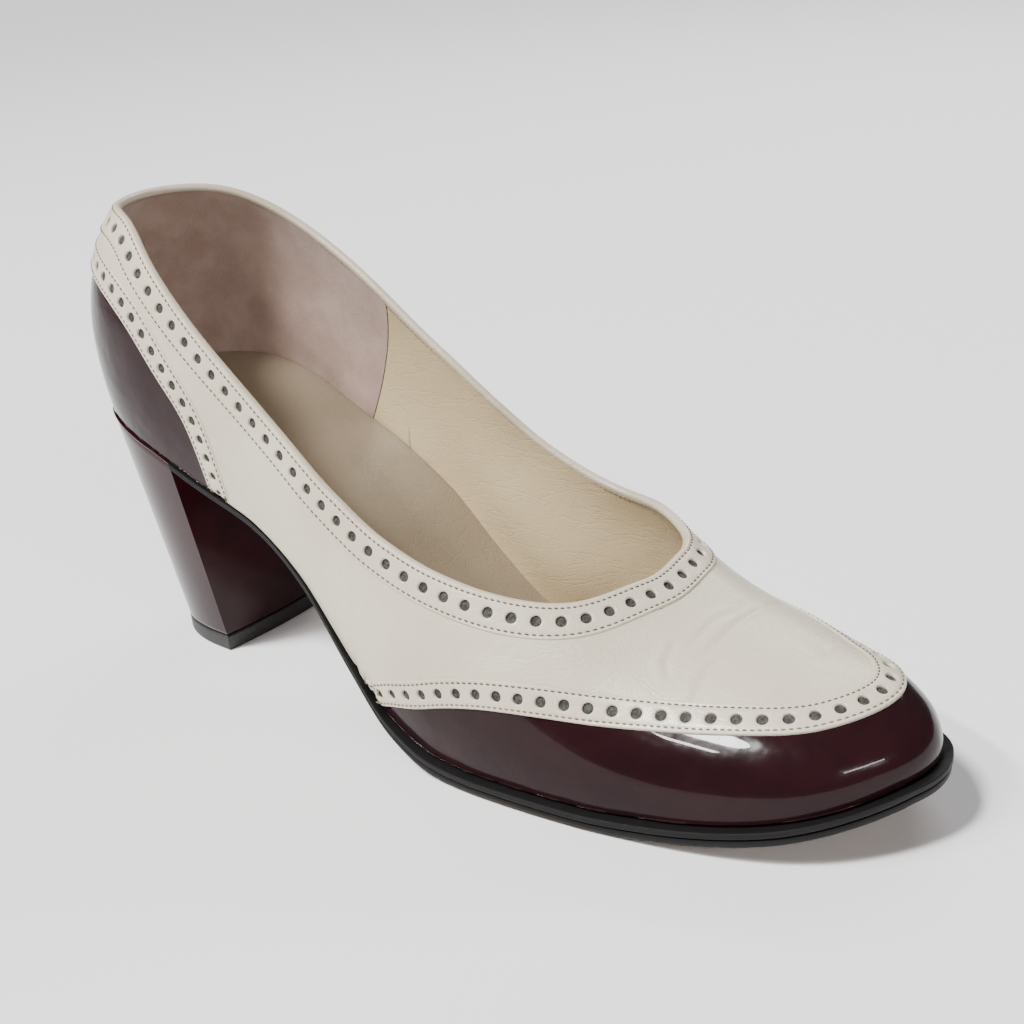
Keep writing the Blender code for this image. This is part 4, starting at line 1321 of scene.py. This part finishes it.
@dataclass
class Sole:
    """Outsole with its stepped and grooved edge, and the sock inside."""

    last: Last
    wall: float = 0.0024
    gap: float = 0.0003
    waist_thickness: float = 0.0021
    lip: float = 0.0020
    waist_lip: float = 0.0003
    step: float = 0.0006
    waist_step: float = 0.00015
    waist_end: float = 0.30
    ball_start: float = 0.56
    breast: float = 0.0415
    breast_bulge: float = 0.0012
    breast_room: float = 1.3
    breast_blend: float = 0.15
    sock_thickness: float = 0.0035
    sock_ease: float = 0.0011
    sock_dish: float = 0.0007
    samples: int = 4001

    # inset in shares of the step, fall in shares of the thickness
    EDGE = (
        (3.2, 0.00), (0.9, 0.00), (0.25, 0.01), (0.0, 0.07), (0.0, 0.33), (0.30, 0.40), (1.25, 0.44),
        (1.30, 0.48), (0.55, 0.53), (0.40, 0.60), (0.50, 0.84), (0.85, 0.94), (1.8, 1.00), (3.0, 1.00),
    )
    # Rounded border of the sock: inset, lift in shares of its thickness
    SOCK_BORDER = ((0.0012, 0.0), (0.0004, 0.10), (0.0, 0.45), (0.0001, 0.75), (0.0005, 0.94), (0.0012, 1.0))

    def grown(self, x: Array, waist: float, ball: float) -> Array:
        """A size that grows from the waist to the ball."""
        return waist + (ball - waist) * smooth_step(x / self.last.length, self.waist_end, self.ball_start)

    def outline(self, s: Array, inner: bool, offset: Union[float, Array]) -> Array:
        """Feather outline moved out by an offset, square to itself.

        Args:
            s: Share of the way from heel to toe.
            inner: True on the inner side.
            offset: Distance out, one or one for each point.

        Returns:
            Plan points.
        """
        side = np.full(s.shape, inner)
        here = self.last.feather(s, side)
        ahead, behind = (self.last.feather(np.clip(s + way * 1e-3, 0, 1), side) for way in (1, -1))
        run = ahead - behind
        normal = np.stack([run[:, 1], -run[:, 0]], axis=1) * (-1.0 if inner else 1.0)
        ends = (s <= 0.0) | (s >= 1.0)
        normal[ends] = np.stack([np.where(s[ends] <= 0.0, -1.0, 1.0), 0.0 * s[ends]], axis=1)
        normal /= np.linalg.norm(normal, axis=1, keepdims=True)
        return here + normal * np.broadcast_to(offset, s.shape)[:, None]

    def height(self, x: Array, fall: float) -> Array:
        """Height in the sole at x, from its top at fall 0 to its tread at fall 1.

        Args:
            x: Place along the last.
            fall: Share of the way down.

        Returns:
            Heights.
        """
        here = self.last.feather_height(x)
        slope = (self.last.feather_height(x + 0.002) - self.last.feather_height(x - 0.002)) / 0.004
        top = self.gap * np.sqrt(1.0 + slope * slope)
        thick = self.grown(x, self.waist_thickness, self.last.sole_thickness)
        return here - top - fall * (thick - top)

    def outsole(self) -> bpy.types.Object:
        """Sole: edge section carried round both sides, tops and treads laid across."""
        fine = np.linspace(0.0, 1.0, self.samples)
        front = self.breast + self.breast_room * self.gap
        starts = [fine[np.argmax(self.last.feather(fine, np.full(fine.shape, inner))[:, 0] > front)]
                  for inner in (False, True)]
        base = max(starts)
        shared = base + (1.0 - base) * np.linspace(0.0, 1.0, 260) ** 1.02
        rings = []
        for inner in (False, True):
            blend = np.clip(1.0 - (shared - base) / self.breast_blend, 0.0, 1.0) ** 2
            s = shared + (starts[inner] - base) * blend
            x = self.last.feather(s, np.full(s.shape, inner))[:, 0]
            lip, step = self.grown(x, self.waist_lip, self.lip), self.grown(x, self.waist_step, self.step)
            side = []
            for inset, fall in self.EDGE:
                plan = self.outline(s, inner, lip - inset * step)
                plan[0, 0] = front
                side.append(np.column_stack([plan, self.height(plan[:, 0], fall)]))
            rings.append(np.stack(side, axis=1))
        across = np.linspace(0.0, 1.0, 15)
        sheets = []
        for level, fall in ((0, 0.0), (-1, 1.0)):
            outer, inner = rings[0][:, level], rings[1][:, level]
            sheet = outer[:, None] + (inner - outer)[:, None] * across[None, :, None]
            sheet[0, :, 0] = front + self.breast_bulge * (1.0 - (2.0 * across - 1.0) ** 2)
            sheet[..., 2] = self.height(sheet[..., 0], fall)
            sheets.append(sheet)
        down = np.linspace(0, 1, 3)[None, :, None]
        back = sheets[0][0][:, None] + (sheets[1][0] - sheets[0][0])[:, None] * down
        grids = [(rings[0], Finish.EDGE), (rings[1][:, ::-1], Finish.EDGE), (sheets[0][:, ::-1], Finish.EDGE),
                 (sheets[1], Finish.TREAD), (back, Finish.EDGE)]
        return self.solid("outsole_dressed", grids, "outsole", 32.0)

    def sock(self) -> bpy.types.Object:
        """Sock: a thin slab with a rounded border, slightly dished, from the seat to the toe."""
        s = np.linspace(0.0, 1.0, 240)
        inset = self.wall - self.sock_ease
        rings = []
        for inner in (False, True):
            side = []
            for inward, lift in self.SOCK_BORDER:
                plan = self.outline(s, inner, -inset - inward)
                height = self.last.feather_height(plan[:, 0]) + lift * self.sock_thickness
                side.append(np.column_stack([plan, height]))
            rings.append(np.stack(side, axis=1))
        across = np.linspace(0.0, 1.0, 21)
        sheets = []
        for level, lift in ((-1, 1.0), (0, 0.0)):
            outer, inner = rings[0][:, level], rings[1][:, level]
            sheet = outer[:, None] + (inner - outer)[:, None] * across[None, :, None]
            dish = self.sock_dish * np.sin(np.pi * across) ** 2 * (1.0 if level else 0.0)
            height = self.last.feather_height(sheet[..., 0]) + lift * self.sock_thickness
            sheet[..., 2] = height - dish[None, :]
            sheets.append(sheet)
        grids = [(rings[0][:, ::-1], Finish.SOCK), (rings[1], Finish.SOCK), (sheets[0][:, ::-1], Finish.SOCK),
                 (sheets[1], Finish.SOCK)]
        return self.solid("sock", grids, "insole", 50.0)

    def solid(self, name: str, grids: Sequence[tuple], node: str, sharp: float) -> bpy.types.Object:
        """Closed piece from grids of points, each with its finish.

        Args:
            name: Piece name.
            grids: Pairs of a grid of points and its finish.
            node: CAD node that it stands for.
            sharp: Angle in degrees over which an edge is left sharp.

        Returns:
            The piece.
        """
        finishes = list(dict.fromkeys(finish for _, finish in grids))
        points, faces, which, start = [], [], [], 0
        for grid, finish in grids:
            quads = grid_faces(*grid.shape[:2], start)
            points.append((grid + self.last.origin).reshape(-1, 3))
            faces.append(quads)
            which.append(np.full(len(quads), finishes.index(finish)))
            start += grid.shape[0] * grid.shape[1]
        made = piece(name, np.vstack(points), np.vstack(faces), finishes, [node], np.concatenate(which),
                     sharp=sharp)
        close_outwards(made, sharp)
        return made

    def build(self) -> list[bpy.types.Object]:
        """Make the outsole and the sock."""
        return [self.outsole(), self.sock()]


def close_outwards(thing: bpy.types.Object, sharp: float) -> None:
    """Turn the faces of a closed piece outwards."""
    build = bmesh.new()
    build.from_mesh(thing.data)
    bmesh.ops.recalc_face_normals(build, faces=build.faces)
    build.to_mesh(thing.data)
    build.free()
    thing.data.set_sharp_from_angle(angle=math.radians(sharp))


@dataclass
class BlockHeel:
    """Covered block heel and its tip. Both are lofts between a squared-oval foot and the seat outline."""

    sole: Sole
    tip_height: float = 0.0044
    tip_length: float = 0.0280
    tip_width: float = 0.0369
    squareness: float = 2.5
    samples: int = 4001

    # Sides of the block: share of the way up, inset there. A faint bead runs round under the upper
    BEAD = (
        (0.0, 0.0004), (0.006, 0.0), (0.975, 0.0), (0.985, 0.0002), (0.990, -0.00015), (0.995, -0.00015),
        (1.0, 0.0003),
    )
    # Chamfer round the tip's tread: inset, height
    CHAMFER = ((0.0004, 0.0), (0.0001, 0.0003), (0.0, 0.0008))
    # Top edge of the tip: inset, depth under its top
    TIP_TOP = ((0.0, 0.0004), (0.0003, 0.0))

    def angles(self) -> tuple[Array, Array]:
        """Angles round the back and shares across the breast."""
        return np.linspace(-np.pi / 2, np.pi / 2, 121), np.linspace(1.0, -1.0, 33)[1:-1]

    def foot(self, inset: float = 0.0) -> Array:
        """Outline of the heel's foot: a squared half oval, then the slightly bulged breast."""
        angle, across = self.angles()
        half = 0.5 * self.tip_width - inset
        power = 2.0 / self.squareness
        length = self.tip_length - 2.0 * inset
        back = self.sole.last.toplift_back + inset
        x = back + length * (1.0 - np.abs(np.cos(angle)) ** power)
        y = half * np.sign(np.sin(angle)) * np.abs(np.sin(angle)) ** power
        breast = np.stack([back + length + self.sole.breast_bulge * (1.0 - across**2), across * half], axis=1)
        return np.vstack([np.stack([x, y], axis=1), breast])

    def seat(self) -> Array:
        """Outline of the heel's top, along the feather line and across the breast."""
        angle, across = self.angles()
        last = self.sole.last
        fine = np.linspace(-0.5, 0.5, self.samples)
        plan = last.feather(np.abs(fine), fine < 0.0)
        kept = plan[plan[:, 0] <= self.sole.breast][::-1]
        kept = kept[::-1] if kept[0, 1] > 0.0 else kept
        run = np.append(0.0, np.cumsum(np.hypot(*np.diff(kept, axis=0).T)))
        foot = self.foot()[: len(angle)]
        share = np.append(0.0, np.cumsum(np.hypot(*np.diff(foot, axis=0).T)))
        at = share / share[-1] * run[-1]
        rounded = np.stack([np.interp(at, run, kept[:, k]) for k in (0, 1)], axis=1)
        middle, half = 0.5 * (rounded[0, 1] + rounded[-1, 1]), 0.5 * (rounded[-1, 1] - rounded[0, 1])
        front = self.sole.breast + self.sole.breast_bulge * (1.0 - across**2)
        return np.vstack([rounded, np.stack([front, middle + across * half], axis=1)])

    def loft(self, name: str, rings: Array, node: str, finish: Finish, sharp: float) -> bpy.types.Object:
        """Closed piece from stacked outlines, with a cap of shrinking rings at either end.

        Args:
            name: Piece name.
            rings: Outlines from the bottom up.
            node: CAD node that it stands for.
            finish: Its finish.
            sharp: Angle in degrees over which an edge is left sharp.

        Returns:
            The piece.
        """
        count = rings.shape[1]
        caps = []
        for ring in (rings[0], rings[-1]):
            share = np.array([0.7, 0.35, 0.0])[:, None, None]
            caps.append(ring.mean(axis=0) + (ring - ring.mean(axis=0))[None] * share)
        stack = np.concatenate([caps[0][::-1], rings, caps[1]], axis=0)
        stack = np.concatenate([stack, stack[:, :1]], axis=1)
        made = piece(name, stack + self.sole.last.origin, grid_faces(len(stack), count + 1), [finish], [node],
                     sharp=sharp)
        close_outwards(made, sharp)
        return made

    def block(self) -> bpy.types.Object:
        """The covered block: its sides narrow evenly, with a faint bead under the upper."""
        low, high = self.foot(), self.seat()
        last = self.sole.last
        floor = self.tip_height + self.sole.gap
        top = last.feather_height(high[:, 0]) - self.sole.gap
        share = np.concatenate([[0.0, 0.006], np.linspace(0.02, 0.975, 40), [0.985, 0.990, 0.995, 1.0]])
        inset = np.interp(share, *zip(*self.BEAD))
        plan = low[None] + (high - low)[None] * share[:, None, None]
        centre = plan.mean(axis=1, keepdims=True)
        outward = plan - centre
        outward /= np.linalg.norm(outward, axis=2, keepdims=True)
        plan = plan - outward * inset[:, None, None]
        z = floor + (top - floor)[None] * share[:, None]
        rings = np.concatenate([plan, z[..., None]], axis=2)
        return self.loft("heel_cover", rings, "heel", Finish.HEEL_PATENT, 40.0)

    def tip(self) -> bpy.types.Object:
        """The heel tip, with a small chamfer round its tread."""
        rings = []
        top = tuple((inset, self.tip_height - depth) for inset, depth in self.TIP_TOP)
        for inset, z in self.CHAMFER + top:
            plan = self.foot(inset)
            rings.append(np.column_stack([plan, np.full(len(plan), z)]))
        return self.loft("heel_tip", np.stack(rings), "toplift", Finish.RUBBER, 30.0)

    def build(self) -> list[bpy.types.Object]:
        """Make the covered block and its tip."""
        return [self.block(), self.tip()]


# The picture

@dataclass
class Studio:
    """Pale floor, soft lights and the photo's camera."""

    last: Last
    camera_place: tuple = (0.3518, -0.2508, 0.1916)
    aim: tuple = (0.1262, 0.0045, 0.0501)
    roll: float = 5.56
    lens: float = 54.3
    daylight: float = 4.6
    daylight_width: float = 10.0
    daylight_turn: tuple = (28.0, -14.0, 0.0)
    sensor: float = 36.0
    floor_size: float = 6.0
    floor_drop: float = 0.00002
    floor_tone: tuple = (0.90, 0.90, 0.90)
    world_tone: tuple = (0.93, 0.94, 0.96, 1.0)
    world_strength: float = 0.14

    def camera(self) -> None:
        """Camera at the photo's place to the shoe, turned to hold it in the middle."""
        place = np.array(self.camera_place) + self.last.origin
        forward = np.array(self.aim) + self.last.origin - place
        forward /= np.linalg.norm(forward)
        level = np.cross(forward, (0.0, 0.0, 1.0))
        level /= np.linalg.norm(level)
        down = np.cross(forward, level)
        turn = math.radians(self.roll)
        right = level * math.cos(turn) + down * math.sin(turn)
        up = np.cross(right, forward)
        matrix = Matrix([[right[i], up[i], -forward[i], place[i]] for i in range(3)] + [[0.0, 0.0, 0.0, 1.0]])
        data = bpy.data.cameras.new("photo_camera")
        data.lens = self.lens
        data.sensor_width = self.sensor
        data.clip_start = 0.01
        thing = bpy.data.objects.new("photo_camera", data)
        thing.matrix_world = matrix
        bpy.context.scene.collection.objects.link(thing)
        bpy.context.scene.camera = thing

    def light(self, name: str, place: tuple, aim: tuple, size: tuple, power: float, colour: tuple) -> None:
        """One rectangular soft light.

        Args:
            name: Its name.
            place: Where it hangs.
            aim: What it points at.
            size: Width and height in metres.
            power: Watts.
            colour: Its colour.
        """
        data = bpy.data.lights.new(name, "AREA")
        data.shape = "RECTANGLE"
        data.size, data.size_y = size
        data.energy = power
        data.color = colour
        thing = bpy.data.objects.new(name, data)
        ahead = np.array(aim) - np.array(place)
        ahead /= np.linalg.norm(ahead)
        side = np.cross(ahead, (0.0, 0.0, 1.0))
        side /= np.linalg.norm(side)
        up = np.cross(side, ahead)
        thing.matrix_world = Matrix([[side[i], up[i], -ahead[i], place[i]] for i in range(3)]
                                    + [[0.0, 0.0, 0.0, 1.0]])
        bpy.context.scene.collection.objects.link(thing)

    def sun(self) -> None:
        """Broad, even light that keeps the floor pale far behind the shoe."""
        data = bpy.data.lights.new("daylight", "SUN")
        data.energy = self.daylight
        data.angle = math.radians(self.daylight_width)
        thing = bpy.data.objects.new("daylight", data)
        thing.rotation_euler = tuple(math.radians(turn) for turn in self.daylight_turn)
        bpy.context.scene.collection.objects.link(thing)

    def floor(self) -> None:
        """Wide pale floor."""
        corners = [(x * self.floor_size, y * self.floor_size, -self.floor_drop)
                   for x, y in ((-1, -1), (1, -1), (1, 1), (-1, 1))]
        mesh = bpy.data.meshes.new("floor")
        mesh.from_pydata(corners, [], [(0, 1, 2, 3)])
        shade = Shade("pale_floor")
        shade.wire("Base Color", self.floor_tone)
        shade.wire("Roughness", 0.75)
        mesh.materials.append(shade.material)
        thing = bpy.data.objects.new("floor", mesh)
        bpy.context.scene.collection.objects.link(thing)

    def build(self) -> None:
        """Set up the picture."""
        self.camera()
        self.floor()
        self.light("window", (-0.55, -0.95, 1.25), (0.0, 0.0, 0.02), (0.70, 0.055), 22.0, (1.0, 0.985, 0.96))
        self.sun()
        self.light("fill", (1.30, -0.55, 0.75), (0.0, 0.0, 0.04), (0.80, 0.060), 8.0, (0.98, 0.99, 1.0))
        self.light("back", (-0.2, 1.30, 1.1), (0.0, 0.0, 0.05), (1.1, 0.10), 10.0, (1.0, 1.0, 1.0))
        world = bpy.data.worlds.new("studio")
        world.use_nodes = True
        background = world.node_tree.nodes["Background"]
        background.inputs["Color"].default_value = self.world_tone
        background.inputs["Strength"].default_value = self.world_strength
        bpy.context.scene.world = world


def bands(lines: Lines, ribbons: dict[str, Ribbon]) -> list[PunchedBand]:
    """The three punched bands of the upper."""
    lower = ribbons["topline"].line(lines.topline_width)
    back, margin = 0.2, 0.004

    def under_topline(s: Array, h: Array) -> Array:
        """True where a point of the counter's band is covered by the topline band."""
        up = np.where(h > 1.0, 2.0 - h, h)
        half = lower[lower[:, 1] < 1.0]
        return (np.abs(s) < back) & (up > read_line(half, np.abs(s), 1.0) - margin)

    return [
        PunchedBand("topline", ribbons["topline"], "upper", 79, hole_place=0.0040, rows=(0.0011, 0.0071),
                    row_threads=(Finish.THREAD, Finish.THREAD), raise_=0.00045),
        PunchedBand("wing", ribbons["wing"], "upper", 51, end_width=0.80),
        PunchedBand("counter", ribbons["counter"], "upper", 47, end_shrink=0.15, skip=under_topline,
                    raise_=0.00030),
    ]


def main() -> None:
    """Build every sub-assembly in order and set up the picture."""
    logging.basicConfig(level=logging.INFO, format="%(message)s")
    last = Last()
    lines = Lines()
    ribbons = lines.ribbons(last)
    Upper(last, ribbons).build()
    for band in bands(lines, ribbons):
        band.build()
    CollarEdge(ribbons["topline"]).build()
    sole = Sole(last)
    sole.build()
    BlockHeel(sole).build()
    Studio(last).build()


if __name__ == "__main__":
    main()
